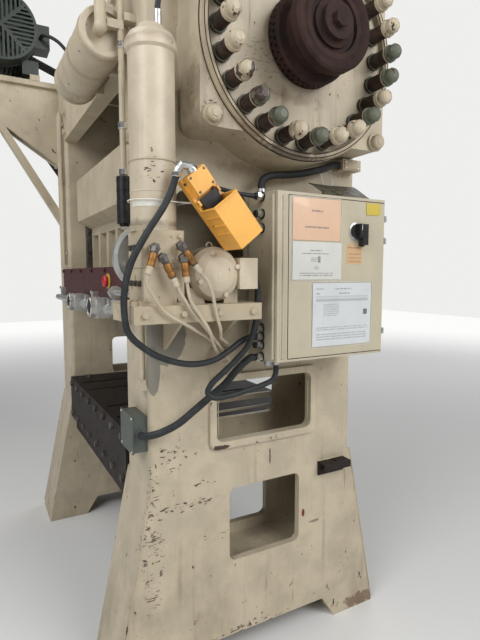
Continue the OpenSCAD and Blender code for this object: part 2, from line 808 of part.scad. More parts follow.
// Slide: deep upper block, ribbed lower part, four ways, a well for each ball
module slide() {
  pitch = slide_w / (slide_ribs - 1);
  color(cream)
    difference() {
      union() {
        block([-slide_w / 2, slide_w / 2], [slide_y0, slide_y1], [slide_z, slide_top]);
        side_slab(-slide_w / 2, slide_w / 2)
          polygon([[slide_y0 + 1, slide_top - slide_block_h - slide_nose / 2],
            [slide_y0 + 1, slide_top], [slide_y0 - slide_nose + 14, slide_top],
            [slide_y0 - slide_nose, slide_top - 14], [slide_y0 - slide_nose, slide_top - slide_block_h]]);
        for (sx = [-1, 1], y = [way_front_y, way_rear_y])
          block(sx > 0 ? [way_x0 - 1, way_x1] : [-way_x1, -way_x0 + 1], [y, y + way_d], [way_z0, way_z1]);
      }
      for (i = [0:slide_ribs - 2])
        block([-slide_w / 2 + i * pitch + slide_rib_w / 2, -slide_w / 2 + (i + 1) * pitch - slide_rib_w / 2],
          [slide_y0 - 1, slide_y0 + slide_pocket], [slide_z + 46, slide_top - slide_block_h - slide_nose]);
      block([-slide_middle / 2, slide_middle / 2],
        [slide_y0 + slide_pocket + 30, slide_y1 - 60], [slide_z + 80, slide_top + 1]);
      for (sx = [-1, 1])
        translate([sx * pitman_x, crank_y, well_z]) cylinder(h = slide_top, r = well_r, $fn = 72);
      for (sx = [-1, 1], sy = [-1, 1])
        translate([sx * slide_hole_at[0], crank_y + sy * slide_hole_at[1], slide_z - 1])
          cylinder(h = 41, r = slide_hole_d / 2, $fn = 32);
    }
}

// Cast housing of the brake, hollow round the brake disc
module brake_housing() {
  color(cream)
    difference() {
      translate([0, crank_y, crank_z]) side_slab(side_x, housing_x) {
        round_rect(housing_w, housing_h, housing_r);
        circle(r = ring_r + ring_w + 4, $fn = 120);
      }
      rod_x(side_x + 26, housing_x - 34, crank_y, crank_z, disc_r + disc_room);
      rod_x(side_x - 1, housing_x + 1, crank_y, crank_z, stub_r + 12);
      rod_x(side_x - 1, side_x + 27, crank_y, crank_z, journal_d / 2 + 6);
      for (sy = [-1, 1], sz = [-1, 1])
        rod_x(housing_x - 40, housing_x + 1, crank_y + sy * corner_bolt[0], crank_z + sz * corner_bolt[1],
          15, 24);
    }
}

// Raised ring round the spring cups, with its corner bolts
module brake_ring() {
  color(cream) {
    turned_x(housing_x, crank_y, crank_z, 120)
      polygon([[ring_r, 0], [ring_r + ring_w, 0], [ring_r + ring_w, ring_t - 12],
        [ring_r + ring_w - 7, ring_t - 9], [ring_r + ring_w - 9, ring_t], [ring_r + 5, ring_t],
        [ring_r, ring_t - 5]]);
    for (sy = [-1, 1], sz = [-1, 1]) {
      rod_x(housing_x - 40, housing_x, crank_y + sy * corner_bolt[0], crank_z + sz * corner_bolt[1], 15, 24);
      turned_x(housing_x, crank_y + sy * corner_bolt[0], crank_z + sz * corner_bolt[1], 32)
        polygon([[0, 0], [34, 0], [34, 8], [27, 10], [27, 28], [21, 34], [0, 34]]);
    }
  }
}

// Brake disc keyed to the stub inside the housing
module brake_disc() {
  color(dark_steel)
    turned_x(side_x + 40, crank_y, crank_z)
      polygon([[stub_r, 0], [stub_r + 30, 0], [stub_r + 30, 20], [disc_r, 20], [disc_r, 56],
        [stub_r + 30, 56], [stub_r + 30, 70], [stub_r, 70]]);
}

function cup_angle(i) = cup_phase + 360 * i / cup_count;
function cup_at(i) = [crank_y + cup_ring_r * cos(cup_angle(i)), crank_z + cup_ring_r * sin(cup_angle(i))];
function is_green(i) = len(search(i, green_caps)) > 0;

// Barrels of the spring cups
module spring_cups() {
  color(cup_brown)
    for (i = [0:cup_count - 1])
      turned_x(cup_x, cup_at(i)[0], cup_at(i)[1], 32)
        polygon([[0, 0], [cup_d / 2 + 4, 0], [cup_d / 2 + 4, 9], [cup_d / 2, 12], [cup_d / 2, cup_len],
          [0, cup_len]]);
}

// Cap of one cup: flange, hexagon and domed end
module cup_cap(at) {
  turned_x(cap_x, at[0], at[1], 32)
    polygon([[0, 0], [cap_d / 2 - 2, 0], [cap_d / 2, 2], [cap_d / 2, 12], [cap_d / 2 - 4, 15],
      [cap_d / 2 - 4, cap_len - 13], [cap_d / 2 - 9, cap_len - 5], [cap_d / 2 - 17, cap_len], [0, cap_len]]);
}

module cream_cup_caps() {
  color(cream) for (i = [0:cup_count - 1]) if (!is_green(i)) cup_cap(cup_at(i));
}

module green_cup_caps() {
  color(cap_green) for (i = [0:cup_count - 1]) if (is_green(i)) cup_cap(cup_at(i));
}

// Rusty drum with a toothed inner rim, a stepped front and its hub cap
module brake_drum() {
  r = drum_d / 2;
  color(rust_red) drum_cap();
  color(rust_red)
    difference() {
      turned_x(drum_x, crank_y, crank_z, 96)
        polygon([[stub_r, 0], [r - 30, 0], [r - 12, 4], [r, 10], [r, 58], [r - 8, 64], [r - 34, 66],
          [r - 34, 84], [r - 26, 88], [r - 26, 104], [r - 52, 110], [r - 52, 118], [r - 14, 124],
          [r - 6, 132],
          [r - 6, drum_w - 12], [r - 14, drum_w - 6], [r - 30, drum_w - 2], [r - 46, drum_w - 12],
          [r - 62, drum_w - 12], [r - 66, drum_w - 22], [stub_r, drum_w - 22]]);
      for (row = [0, 1], i = [0:43])
        translate([drum_x + 22 + 22 * row, crank_y, crank_z]) rotate([(i + row / 2) * 360 / 44, 0, 0])
          translate([0, 0, r - 7]) cylinder(h = 10, r = 6, $fn = 13);
    }
}

// Hub cap and bolt at the drum's middle
module drum_cap() {
  turned_x(drum_x + drum_w - 22, crank_y, crank_z, 48)
    polygon([[stub_r, 0], [stub_r + 26, 0], [stub_r + 26, 10], [stub_r + 8, 16], [stub_r + 8, 34],
      [0, 34], [0, 22], [stub_r, 22]]);
  hex_x(drum_x + drum_w + 12, drum_x + drum_w + 30, crank_y, crank_z, 48);
}

// Small folded step on the side of the right-hand upright
module side_step() {
  color(cream)
    difference() {
      block([side_x, side_x + 58], step_y, [step_z - 8, step_z]);
      translate([side_x + 30, (step_y[0] + step_y[1]) / 2, step_z - 9]) cylinder(h = 10, r = 9, $fn = 24);
    }
  color(cream) {
    block([side_x, side_x + 8], step_y, [step_z - 62, step_z - 8]);
    block([side_x + 50, side_x + 58], step_y, [step_z - 30, step_z - 8]);
  }
}

// Flywheel with a web, a hub on the seat and grooves for the belts
module flywheel() {
  groove = [for (i = [0:belt_count - 1]) belt_x(i) - fly_x0];
  color(dark_steel)
    difference() {
      turned_x(fly_x0, crank_y, crank_z, 120)
        polygon(concat([[seat_d / 2 + run_gap, -fly_hub], [seat_d / 2 + 60, -fly_hub], [seat_d / 2 + 60, 60],
          [flywheel_d / 2 - 90, 60], [flywheel_d / 2 - 80, 0], [flywheel_d / 2, 0]],
          [for (g = groove) for (q = [[0, -9], [-16, -6], [-16, 6], [0, 9]])
            [flywheel_d / 2 + q[0], g + q[1]]],
          [[flywheel_d / 2, flywheel_w], [flywheel_d / 2 - 80, flywheel_w],
          [flywheel_d / 2 - 90, flywheel_w - 60], [seat_d / 2 + 60, flywheel_w - 60],
          [seat_d / 2 + 60, flywheel_w], [seat_d / 2 + run_gap, flywheel_w]]));
      for (i = [0:5])
        translate([0, crank_y, crank_z]) rotate([60 * i, 0, 0])
          rod_x(fly_x0, fly_x1, 0, (seat_d / 2 + flywheel_d / 2 - 30) / 2, 62);
    }
}

function belt_x(i) = belt_mid_x + (i - (belt_count - 1) / 2) * belt_pitch;

// Clutch on the shaft beside the flywheel, and the end plate on its other side
module clutch_unit() {
  color(oily_steel) {
    turned_x(fly_x1 + 1.5, crank_y, crank_z, 72)
      polygon([[seat_d / 2, 0], [210, 0], [210, 40], [180, 46], [180, 78], [120, 84],
        [120, flywheel_gap - 60], [seat_d / 2, flywheel_gap - 60]]);
    turned_x(shaft_left, crank_y, crank_z, 48)
      polygon([[0, -12], [seat_d / 2 + 22, -12], [seat_d / 2 + 22, end_plate_t], [seat_d / 2, end_plate_t],
        [seat_d / 2, 0], [0, 0]]);
  }
}

// Belt lines between the flywheel and the pulley, as [Y, Z]
belt_from = [crank_y, crank_z];
belt_to = [motor_y, motor_z];
belt_dist = norm(belt_to - belt_from);
belt_dir = atan2(belt_to[1] - belt_from[1], belt_to[0] - belt_from[0]);
belt_open = acos((groove_r - pulley_r) / belt_dist);
function belt_loop(grow) = concat(
  [for (k = [0:24]) let (a = belt_dir + belt_open + (360 - 2 * belt_open) * k / 24)
    belt_from + (groove_r + grow) * [cos(a), sin(a)]],
  [for (k = [0:12]) let (a = belt_dir - belt_open + 2 * belt_open * k / 12)
    belt_to + (pulley_r + grow) * [cos(a), sin(a)]]);

module drive_belts() {
  color(black)
    for (i = [0:belt_count - 1])
      side_slab(belt_x(i) - belt_w / 2, belt_x(i) + belt_w / 2)
        difference() {
          polygon(belt_loop(belt_h + 1));
          polygon(belt_loop(1));
        }
}

// Platform that carries the main motor in front of the left upright
module motor_bracket() {
  reach = front_y - platform_reach;
  color(cream) {
    difference() {
      union() {
        block([motor_x0 - 30, bracket_x + 30], [reach, front_y], [platform_z - platform_t, platform_z]);
        for (sy = [-1, 1])
          block([motor_x0 + 6, motor_x1 - 6],
            [motor_y + sy * (motor_r - 20) - 28, motor_y + sy * (motor_r - 20) + 28],
            [platform_z - 1, foot_z]);
      }
      for (sx = [0, 1], sy = [-1, 1])
        translate([motor_x0 + 60 + sx * (motor_len - 120), motor_y + sy * (motor_r - 20),
            platform_z - platform_t - 1])
          cylinder(h = platform_t + rail_h + 2, r = 9, $fn = 24);
    }
    for (x = [bracket_x - panel_t, -side_x + 6])
      side_slab(x, x + panel_t)
        difference() {
          polygon([[front_y, platform_z - platform_t], [reach + 20, platform_z - platform_t],
            [reach + 20, platform_z - 150], [front_y, platform_z - panel_h]]);
          translate([front_y - 330, platform_z - panel_h - 40]) circle(r = 170, $fn = 64);
        }
    block([-side_x + 6, bracket_x], [front_y - 18, front_y],
      [platform_z - panel_h, platform_z - platform_t]);
    side_slab(bracket_x - 60, bracket_x)
      polygon([[front_y, brace_z], [front_y, brace_z + 90], [front_y - 340, platform_z - 240],
        [front_y - 420, platform_z - 180]]);
  }
}

// Finned motor with feet, a through bore for its shaft and a terminal box
module motor_body() {
  color(motor_green)
    difference() {
      union() {
        translate([0, motor_y, motor_z]) side_slab(motor_x0 + 40, motor_x1 - 40)
          union() {
            circle(r = motor_r - 22, $fn = 72);
            for (i = [0:fin_count - 1]) rotate(360 * i / fin_count)
              translate([motor_r - 30, -2]) square([30, 4]);
          }
        rod_x(motor_x0, motor_x0 + 41, motor_y, motor_z, motor_r - 6, 72);
        rod_x(motor_x1 - 41, motor_x1, motor_y, motor_z, motor_r - 6, 72);
        for (sx = [0, 1], sy = [-1, 1])
          translate([motor_x0 + 20 + sx * (motor_len - 120), motor_y, foot_z])
            translate([0, sy > 0 ? motor_r - 90 : -motor_r - 5, 0]) cube([80, 95, motor_foot + 60]);
        block([motor_x1 - 150, motor_x1 - 20], [motor_y + motor_r - 30, motor_y + motor_r + 75],
          [motor_z - 60, motor_z + 80]);
      }
      rod_x(motor_x0 - 1, motor_x1 + 1, motor_y, motor_z, rotor_d / 2 + run_gap, 48);
      for (sx = [0, 1], sy = [-1, 1])
        translate([motor_x0 + 60 + sx * (motor_len - 120), motor_y + sy * (motor_r - 20), foot_z - 1])
          cylinder(h = motor_foot + 62, r = 9, $fn = 24);
    }
}

// Fan cover: a drum whose end has four fans of straight slots
module motor_fan_cover() {
  r = motor_r - 6;
  color(motor_green) {
    difference() {
      rod_x(motor_x1, motor_x1 + cover_len, motor_y, motor_z, r, 72);
      rod_x(motor_x1 - 1, motor_x1 + cover_len - 5, motor_y, motor_z, r - 5, 72);
      translate([0, motor_y, motor_z]) side_slab(motor_x1 + cover_len - 6, motor_x1 + cover_len + 1)
        for (q = [0:3]) rotate(90 * q)
          intersection() {
            circle(r = r - 16, $fn = 72);
            polygon([[vent_rib, 0], [r + vent_rib, -r], [r + vent_rib, r]]);
            for (k = [-vent_slots:vent_slots])
              translate([0, vent_pitch * k - vent_pitch / 4]) square([r, vent_pitch / 2]);
          }
    }
  }
}

// Motor shaft with its fan and the grooved pulley
module motor_rotor() {
  pulley_w = belt_count * belt_pitch + 14;
  color(oily_steel) {
    rod_x(belt_mid_x - pulley_w / 2 - 10, motor_x1 + 44, motor_y, motor_z, rotor_d / 2, 48);
    turned_x(belt_mid_x - pulley_w / 2, motor_y, motor_z, 72)
      polygon(concat([[rotor_d / 2 - 1, 0], [pulley_d / 2, 0]],
        [for (i = [0:belt_count - 1]) for (q = [[0, -9], [-15.5, -6], [-15.5, 6], [0, 9]])
          [pulley_d / 2 + q[0], belt_x(i) - belt_mid_x + pulley_w / 2 + q[1]]],
        [[pulley_d / 2, pulley_w], [rotor_d / 2 - 1, pulley_w]]));
    rod_x(motor_x1 + 10, motor_x1 + 44, motor_y, motor_z, 60, 48);
    for (i = [0:8])
      translate([motor_x1 + 12, motor_y, motor_z]) rotate([40 * i, 0, 0])
        translate([0, -3, 50]) cube([30, 6, motor_r - 84]);
  }
}

// Horizontal air tank with sunk ends, on two saddles
module air_tank() {
  color(cream) {
    turned_x(tank_x - tank_len, tank_y, tank_z, 72)
      polygon([[0, 12], [tank_r - tank_rim, 12], [tank_r - tank_rim, 0], [tank_r - 5, 0], [tank_r, 5],
        [tank_r, tank_len - 5], [tank_r - 5, tank_len], [tank_r - tank_rim, tank_len],
        [tank_r - tank_rim, tank_len - 12], [0, tank_len - 12]]);
    for (x = [tank_x - tank_len + 80, tank_x - 230])
      difference() {
        block([x, x + 34], [tank_y + 30, front_y], [tank_z - 60, tank_z + 30]);
        rod_x(x - 1, x + 35, tank_y, tank_z, tank_r - 2, 72);
      }
  }
}

// Pipe down the front with its elbows, and a short riser
module air_pipes() {
  color(cream) {
    translate([pipe_x, pipe_y, muffler_z[1]])
      cylinder(h = tank_z + 120 - muffler_z[1], r = pipe_d / 2, $fn = 32);
    for (z = [muffler_z[1] + 120, crown_front_z + 60])
      block([pipe_x - 22, pipe_x + 22], [pipe_y + pipe_d / 2 - 2, front_y], [z, z + 26]);
    translate([tank_x - 75, tank_y, tank_z + tank_r - 6]) cylinder(h = 220, r = 17, $fn = 32);
    rod_x(tank_x - 14, pipe_x, tank_y + 14, tank_z + 20, 12, 32);
    block([pipe_x - 12, pipe_x + 12], [tank_y, pipe_y + 8], [tank_z + 6, tank_z + 34]);
    rod_x(tank_x - 14, pipe_x + 6, inlet_y, tank_z, inlet_r, 32);
    translate([pipe_x + 6, inlet_y, tank_z]) {
      sphere(r = inlet_r + 3, $fn = 32);
      cylinder(h = 190, r = inlet_r, $fn = 32);
      translate([0, 0, 176]) cylinder(h = 26, r = inlet_r + 6, $fn = 6);
    }
    far_pipes();
    side_rods();
    front_conduit();
  }
}

// Two pipes up the front of the far upright, with their clips
module far_pipes() {
  for (x = [far_pipe_x, far_pipe_x - 50])
    translate([x, front_y - 18, 0]) {
      translate([0, 0, far_pipe_z[0]]) {
        cylinder(h = far_pipe_z[1] - far_pipe_z[0], r = 11, $fn = 24);
        cylinder(h = 22, r = 14, $fn = 6);
      }
      for (z = [far_pipe_z[0] + 60, far_pipe_z[1] - 80]) translate([-16, 8, z]) cube([32, 10, 24]);
    }
}

// Two thin rods between two clips on the upright's outer face
module side_rods() {
  for (z = side_rod_z) block([side_x, side_x + 15], [side_rod_y - 10, side_rod_y + 22], [z, z + 15]);
  for (rod = [[side_rod_y, 8], [side_rod_y + 16, 4.5]])
    translate([side_x + 9, rod[0], side_rod_z[0] + 9])
      cylinder(h = side_rod_z[1] - side_rod_z[0] - 3, r = rod[1], $fn = 24);
}

// Conduit down the near upright's front, into a small box
module front_conduit() {
  block([conduit_x - 18, conduit_x + 26], [front_y - 26, front_y], [conduit_z[0], conduit_z[0] + 38]);
  block([conduit_x - 12, conduit_x + 12], [front_y - 20, front_y], [conduit_z[1] - 24, conduit_z[1]]);
  translate([conduit_x, front_y - 10, conduit_z[0] + 30])
    cylinder(h = conduit_z[1] - conduit_z[0] - 46, r = 8, $fn = 24);
}

// Black muffler under the pipe
module air_muffler() {
  color(black) translate([pipe_x, pipe_y, muffler_z[0]]) {
    cylinder(h = muffler_z[1] - muffler_z[0], r = 26, $fn = 40);
    translate([0, 0, -8]) cylinder(h = 8, r = 18, $fn = 40);
  }
}

// Channel shelf on the upright
module unit_shelf() {
  color(cream) {
    difference() {
      block([side_x, shelf_x1], shelf_y, [shelf_z - shelf_lip, shelf_z]);
      block([side_x - 1, shelf_x1 - shelf_t], [shelf_y[0] + shelf_t, shelf_y[1] - shelf_t],
        [shelf_z - shelf_lip - 1, shelf_z - shelf_t]);
    }
    for (y = [front_y + 60, shelf_y[1] - 60])
      translate([0, y, 0]) front_slab(-6, 6)
        polygon([[side_x, shelf_z - shelf_lip], [shelf_x1 - 60, shelf_z - shelf_lip + 1],
          [side_x, shelf_z - shelf_lip - 120]]);
  }
}

// Two stacked valve blocks with the elbow ports
module valve_blocks() {
  x = [block_x, block_x + block_s[0]];
  y = [reservoir_at[1] - block_s[1] / 2, reservoir_at[1] + block_s[1] / 2];
  color(cream) {
    block(x, y, [block_z, block_z + block_h - 1.5]);
    block([x[0] + 3, x[1] - 3], [y[0] + 3, y[1] - 3], [block_z + block_h - 2, block_z + block_h + 1]);
    block(x, y, [block_z + block_h, block_top]);
    for (i = [0:3])
      rod_x(x[1] - 1, swivel_x, swivel_from[i][0], swivel_from[i][1], 12, 24);
    block([side_x, bulkhead[0]], [bulkhead[1] - 34, bulkhead[1] + 34], [bulkhead[2] - 30, bulkhead[2] + 30]);
  }
}

// Oil reservoir: rolled shell, foot flange and cap
module oil_reservoir() {
  color(cream)
    translate([reservoir_at[0], reservoir_at[1], block_top])
      rotate_extrude($fn = 72)
        polygon([[0, 0], [reservoir_d / 2 + 3, 0], [reservoir_d / 2 + 3, 10], [reservoir_d / 2, 12],
          [reservoir_d / 2, 118], [reservoir_d / 2 + 1.5, 121], [reservoir_d / 2, 124],
          [reservoir_d / 2, reservoir_h - 46], [reservoir_d / 2 + 8, reservoir_h - 38],
          [reservoir_d / 2 + 8, reservoir_h - 12], [reservoir_d / 2 - 4, reservoir_h + 10],
          [reservoir_d / 2 - 30, reservoir_h + reservoir_cap_h - 10],
          [reservoir_d / 2 - 33, reservoir_h + reservoir_cap_h], [0, reservoir_h + reservoir_cap_h]]);
}

// Hose swivels: elbow end, brass sleeve and ferrule
module hose_swivels() {
  for (i = [0:3]) {
    from = [swivel_x + 8, swivel_from[i][0], swivel_from[i][1]];
    to = [swivel_x + 17, swivel_to[i][0], swivel_to[i][1]];
    color(brass) tube([from, from * 0.55 + to * 0.45, to], swivel_d, 8);
  }
}

// Round wheel of the pump, behind the blocks
module pump_wheel() {
  color(zinc) {
    turned_x(side_x, wheel_at[0], wheel_at[1], 64)
      polygon([[0, 0], [60, 0], [60, 14], [wheel_r - 14, 14], [wheel_r - 14, 8], [wheel_r, 8], [wheel_r, 34],
        [wheel_r - 12, 38], [wheel_r - 20, 32], [50, 32], [44, 56], [0, 56]]);
    for (i = [0:5])
      rod_x(side_x + 31, side_x + 40, wheel_at[0] + 72 * cos(60 * i + 15),
        wheel_at[1] + 72 * sin(60 * i + 15), 9, 6);
  }
}

// Pump motor: turned body with a domed end bell, feet and conduit box
module pump_motor() {
  color(cream) {
    turned_x(pump_x1 - pump_len, pump_y, pump_z, 64)
      polygon([[0, 0], [30, 0], [30, 8], [pump_r - 10, 14], [pump_r - 4, 22], [pump_r - 4, 60], [pump_r, 62],
        [pump_r, pump_len - 56], [pump_r - 3, pump_len - 44], [pump_r * 0.86, pump_len - 24],
        [pump_r * 0.6, pump_len - 9], [pump_r * 0.3, pump_len - 2], [0, pump_len]]);
    for (a = [20, 110, 200, 290])
      rod_x(pump_x1 - 36, pump_x1 - 8, pump_y + pump_r * 0.78 * cos(a),
        pump_z + pump_r * 0.78 * sin(a), 8, 24);
    for (sy = [-1, 1])
      block([pump_x1 - pump_len + 24, pump_x1 - 50], [pump_y + sy * 62 - 26, pump_y + sy * 62 + 26],
        [shelf_z, pump_z - 45]);
    block([pump_x1 - 122, pump_x1 - 8], [pump_y + pump_r - 16, pump_y + pump_r + 52],
      [pump_z - 50, pump_z + 54]);
  }
}

// Sheet enclosure, open at its door side, on four stand-offs
module enclosure_body() {
  color(box_beige) {
    difference() {
      block([box_x, box_x + box_d], [box_y, box_y1], [box_z, box_z + box_h]);
      block([box_x + box_t, box_x + box_d + 1], [box_y + box_t, box_y1 - box_t],
        [box_z + box_t, box_z + box_h - box_t]);
      for (z = gland_top) rod_gland(z);
      for (z = gland_low) rod_gland(z);
      for (y = gland_floor) translate([gland_x(), y, box_z - 1]) cylinder(h = box_t + 2, r = 9, $fn = 24);
    }
    for (y = [box_y + 60, box_y1 - 60], z = [box_z + 60, box_z + box_h - 60])
      rod_x(side_x, box_x, y, z, 16, 32);
    block([side_x, box_x], [box_y + 40, box_y1 - 40], [box_z + box_h - 20, box_z + box_h + 22]);
    for (z = clamp_z) rod_y(box_y1 - 1, box_y1 + 12, clamp_pin_x, z, clamp_pin_r, 24);
  }
}

module rod_gland(z) {
  rod_y(box_y - 1, box_y + box_t + 1, gland_x(), z, 9, 24);
}

function gland_x() = box_x + 100;

// Panel inside the enclosure with its breaker, contactors, rails and ducts
module enclosure_panel() {
  x = box_x + box_t;
  color(zinc) {
    block([x + 12, x + 15], [box_y + 35, box_y1 - 35], [box_z + 40, box_z + box_h - 40]);
    for (y = [box_y + 60, box_y1 - 60], z = [box_z + 70, box_z + box_h - 70]) rod_x(x, x + 12, y, z, 6, 24);
    for (z = [box_z + 60, box_z + 250, box_z + 430])
      block([x + 15, x + 55], [box_y + 50, box_y1 - 50], [z, z + 36]);
    for (i = [0:4])
      block([x + 15, x + 88], [box_y + 70 + 62 * i, box_y + 122 + 62 * i], [box_z + 310, box_z + 400]);
    for (i = [0:12])
      block([x + 15, x + 60], [box_y + 70 + 26 * i, box_y + 91 + 26 * i], [box_z + 130, box_z + 190]);
    block([x + 15, x + 100], [handle_at[0] - 48, handle_at[0] + 48], [box_z + 404, box_z + 540]);
  }
}

// Door with turned edges and a hinge barrel down its left edge
module enclosure_door() {
  color(box_beige) {
    difference() {
      block([door_x, door_x + door_d], [box_y, box_y1], [box_z + 2, box_z + box_h - 2]);
      block([door_x - 1, door_x + door_d - box_t], [box_y + box_t + 4, box_y1 - box_t - 4],
        [box_z + 9, box_z + box_h - 9]);
      rod_x(door_x, door_x + door_d + 1, handle_at[0], handle_at[1], handle_r, 32);
    }
    translate([hinge_at[0], hinge_at[1], box_z + 12]) cylinder(h = box_h - 24, r = hinge_r, $fn = 24);
    block([door_x + 2, door_x + 6], [hinge_at[1], box_y + 1], [box_z + 12, box_z + box_h - 12]);
  }
}

// Turning clamp beside the door's free edge
module door_clamp(z) {
  color(zinc)
    difference() {
      union() {
        block([door_x - 28, door_x + door_d + 3], [box_y1 + seat, box_y1 + 9], [z - 12, z + 12]);
        rod_y(box_y1 + 8, box_y1 + 16, door_x + 8, z, 9, 24);
      }
      rod_y(box_y1, box_y1 + 17, clamp_pin_x, z, clamp_pin_r + run_gap, 24);
    }
}

module top_clamp() {
  door_clamp(clamp_z[2]);
}

module middle_clamp() {
  door_clamp(clamp_z[1]);
}

module lower_clamp() {
  door_clamp(clamp_z[0]);
}

// Rotary disconnect: round boss, grip and the stub through the door
module disconnect_handle() {
  x = door_x + door_d + seat;
  color(black) {
    rod_x(x, x + 14, handle_at[0], handle_at[1], 27, 48);
    rod_x(door_x + 2, x + 1, handle_at[0], handle_at[1], handle_r - run_gap, 32);
    block([x + 14, x + 34], [handle_at[0] - 9, handle_at[0] + 9], [handle_at[1] - 26, handle_at[1] + 26]);
    block([x + 6, x + 30], [handle_at[0] + 10, handle_at[0] + 36], [handle_at[1] - 52, handle_at[1] + 26]);
  }
}

// Glands on the enclosure's side and underside, and their plugs
module gland_y(z) {
  rod_y(box_y - 12, box_y, gland_x(), z, 15, 24);
  hex_y(box_y - 26, box_y - 12, gland_x(), z, 26);
  rod_y(box_y - 34, box_y - 26, gland_x(), z, 10, 24);
}

module cable_glands() {
  color(zinc) {
    for (z = gland_top) gland_y(z);
    for (z = gland_low) gland_y(z);
    for (y = gland_floor) translate([gland_x(), y, box_z - 25]) {
      cylinder(h = 25, r = 14, $fn = 24);
      translate([0, 0, 4]) cylinder(h = 10, r = 16, $fn = 6);
    }
    translate([crown_route[0][0], crown_route[0][1], box_z + box_h]) {
      cylinder(h = crown_route[0][2] - box_z - box_h, r = 17, $fn = 24);
      cylinder(h = 9, r = 22, $fn = 6);
    }
    translate([finish(motor_route)[0], finish(motor_route)[1], frame_h])
      cylinder(h = finish(motor_route)[2] - frame_h, r = 16, $fn = 24);
    rod_x(side_x, finish(sensor_route)[0], finish(sensor_route)[1], finish(sensor_route)[2], 12, 24);
    rod_x(side_x, finish(float_route)[0], finish(float_route)[1], finish(float_route)[2], 14, 24);
    translate([float_route[0][0], float_route[0][1], block_top + reservoir_h + reservoir_cap_h])
      cylinder(h = float_route[0][2] - block_top - reservoir_h - reservoir_cap_h, r = 12, $fn = 24);
    tube(elbow_route, 27, 12);
  }
}

// Cast outlet on the upright that the crown cable runs into
module conduit_outlet() {
  at = [960, 350, 2030];
  color(zinc) {
    block([side_x, at[0] + 26], [at[1], at[1] + 96], [at[2] - 20, at[2] + 24]);
    rod_x(side_x, at[0] + 10, at[1] + 60, at[2], 28, 48);
    block([at[0] + 26, at[0] + 30], [at[1] + 8, at[1] + 88], [at[2] - 15, at[2] + 19]);
  }
}

// Junction box on the upright's front, with its cover and cable connector
module junction_box() {
  color(zinc) {
    block(junction_w, [front_y - 52, front_y], junction_h);
    block([junction_w[0] - 4, junction_w[1] + 4], [front_y - 58, front_y - 52],
      [junction_h[0] - 4, junction_h[1] + 4]);
    rod_x(889, 905, front_y - 30, 1000, 17, 24);
  }
}

// Painted guard plate across the front of the slide, on its two hangers
module guard_plate() {
  color(guard_red) {
    difference() {
      block([-guard_x, guard_x], [guard_y - guard_t, guard_y], [guard_z, guard_z + guard_h]);
      rod_y(guard_y - guard_t - 1, guard_y + 1, stop_at[0], stop_at[1], 8, 24);
    }
    for (sx = [-1, 1])
      block(sx > 0 ? [inner_x + 8, guard_x] : [-guard_x, -inner_x - 8], [guard_y, front_y],
        [guard_z + 20, guard_z + guard_h - 20]);
  }
}

// Round bar with cast button housings and its clamps
module control_bar() {
  color(zinc) {
    difference() {
      union() {
        rod_x(-guard_x - 60, guard_x + 90, bar_y, bar_z, bar_d / 2, 40);
        for (x = palm_x) {
          block([x - 52, x + 52], [bar_y - 40, bar_y + 20], [bar_z - 40, bar_z + 44]);
          rod_y(bar_y - 62, bar_y - 39, x, palm_z, palm_d / 2 + 14, 48);
        }
      }
      for (x = palm_x) {
        rod_y(bar_y - 63, bar_y - 44, x, palm_z, palm_d / 2 + 6, 48);
        rod_y(bar_y - 63, bar_y - 24, x, palm_z, 9, 32);
      }
    }
    for (x = [-guard_x + 50, 240, guard_x - 50])
      block([x - 17, x + 17], [bar_y, guard_y - guard_t], [bar_z, guard_z + 50]);
    block([guard_x + 20, guard_x + 110], [bar_y - 30, bar_y + 30], [bar_z - 8, bar_z + 46]);
    rod_x(577, side_x - 4, bar_y, tube_z, 11, 32);
    rod_x(652, 676, bar_y, tube_z, 26, 40);
    block([655, 673], [bar_y, guard_y - guard_t], [tube_z - 12, tube_z + 12]);
    block([side_x - 30, side_x - 10], [bar_y, front_y], [tube_z - 11, tube_z + 11]);
  }
}

// Palm button: mushroom head on a stem
module palm_button(x) {
  color(black) {
    rod_y(bar_y - 62, bar_y - 25 - button_travel, x, palm_z, 9 - run_gap, 32);
    turned_button(x, bar_y - 44 - button_travel - 1, palm_z, palm_d / 2);
  }
}

// Mushroom head facing the operator, its flat back at y
module turned_button(x, y, z, r) {
  translate([x, y, z]) rotate([90, 0, 0])
    rotate_extrude($fn = 40)
      polygon([[0, 0], [r - 3, 0], [r, 3], [r, 9], [r * 0.85, 14], [r * 0.45, 18], [0, 19]]);
}

module left_palm_button() {
  palm_button(palm_x[0]);
}

module right_palm_button() {
  palm_button(palm_x[1]);
}

module stop_button() {
  color(stop_red) {
    rod_y(guard_y - guard_t - button_travel - 2, guard_y + 4, stop_at[0], stop_at[1], 8 - run_gap, 32);
    turned_button(stop_at[0], guard_y - guard_t - button_travel - 1, stop_at[1], 26);
  }
}

// Places the foot switch: its own X runs down the slope, Z stands out from the machine's side
module hung() {
  translate([pedal_x, pedal_mid[0], pedal_mid[1]]) rotate([-90 + pedal_tilt, 0, 0]) rotate([0, 0, 90])
    rotate([90, 0, 0]) children();
}

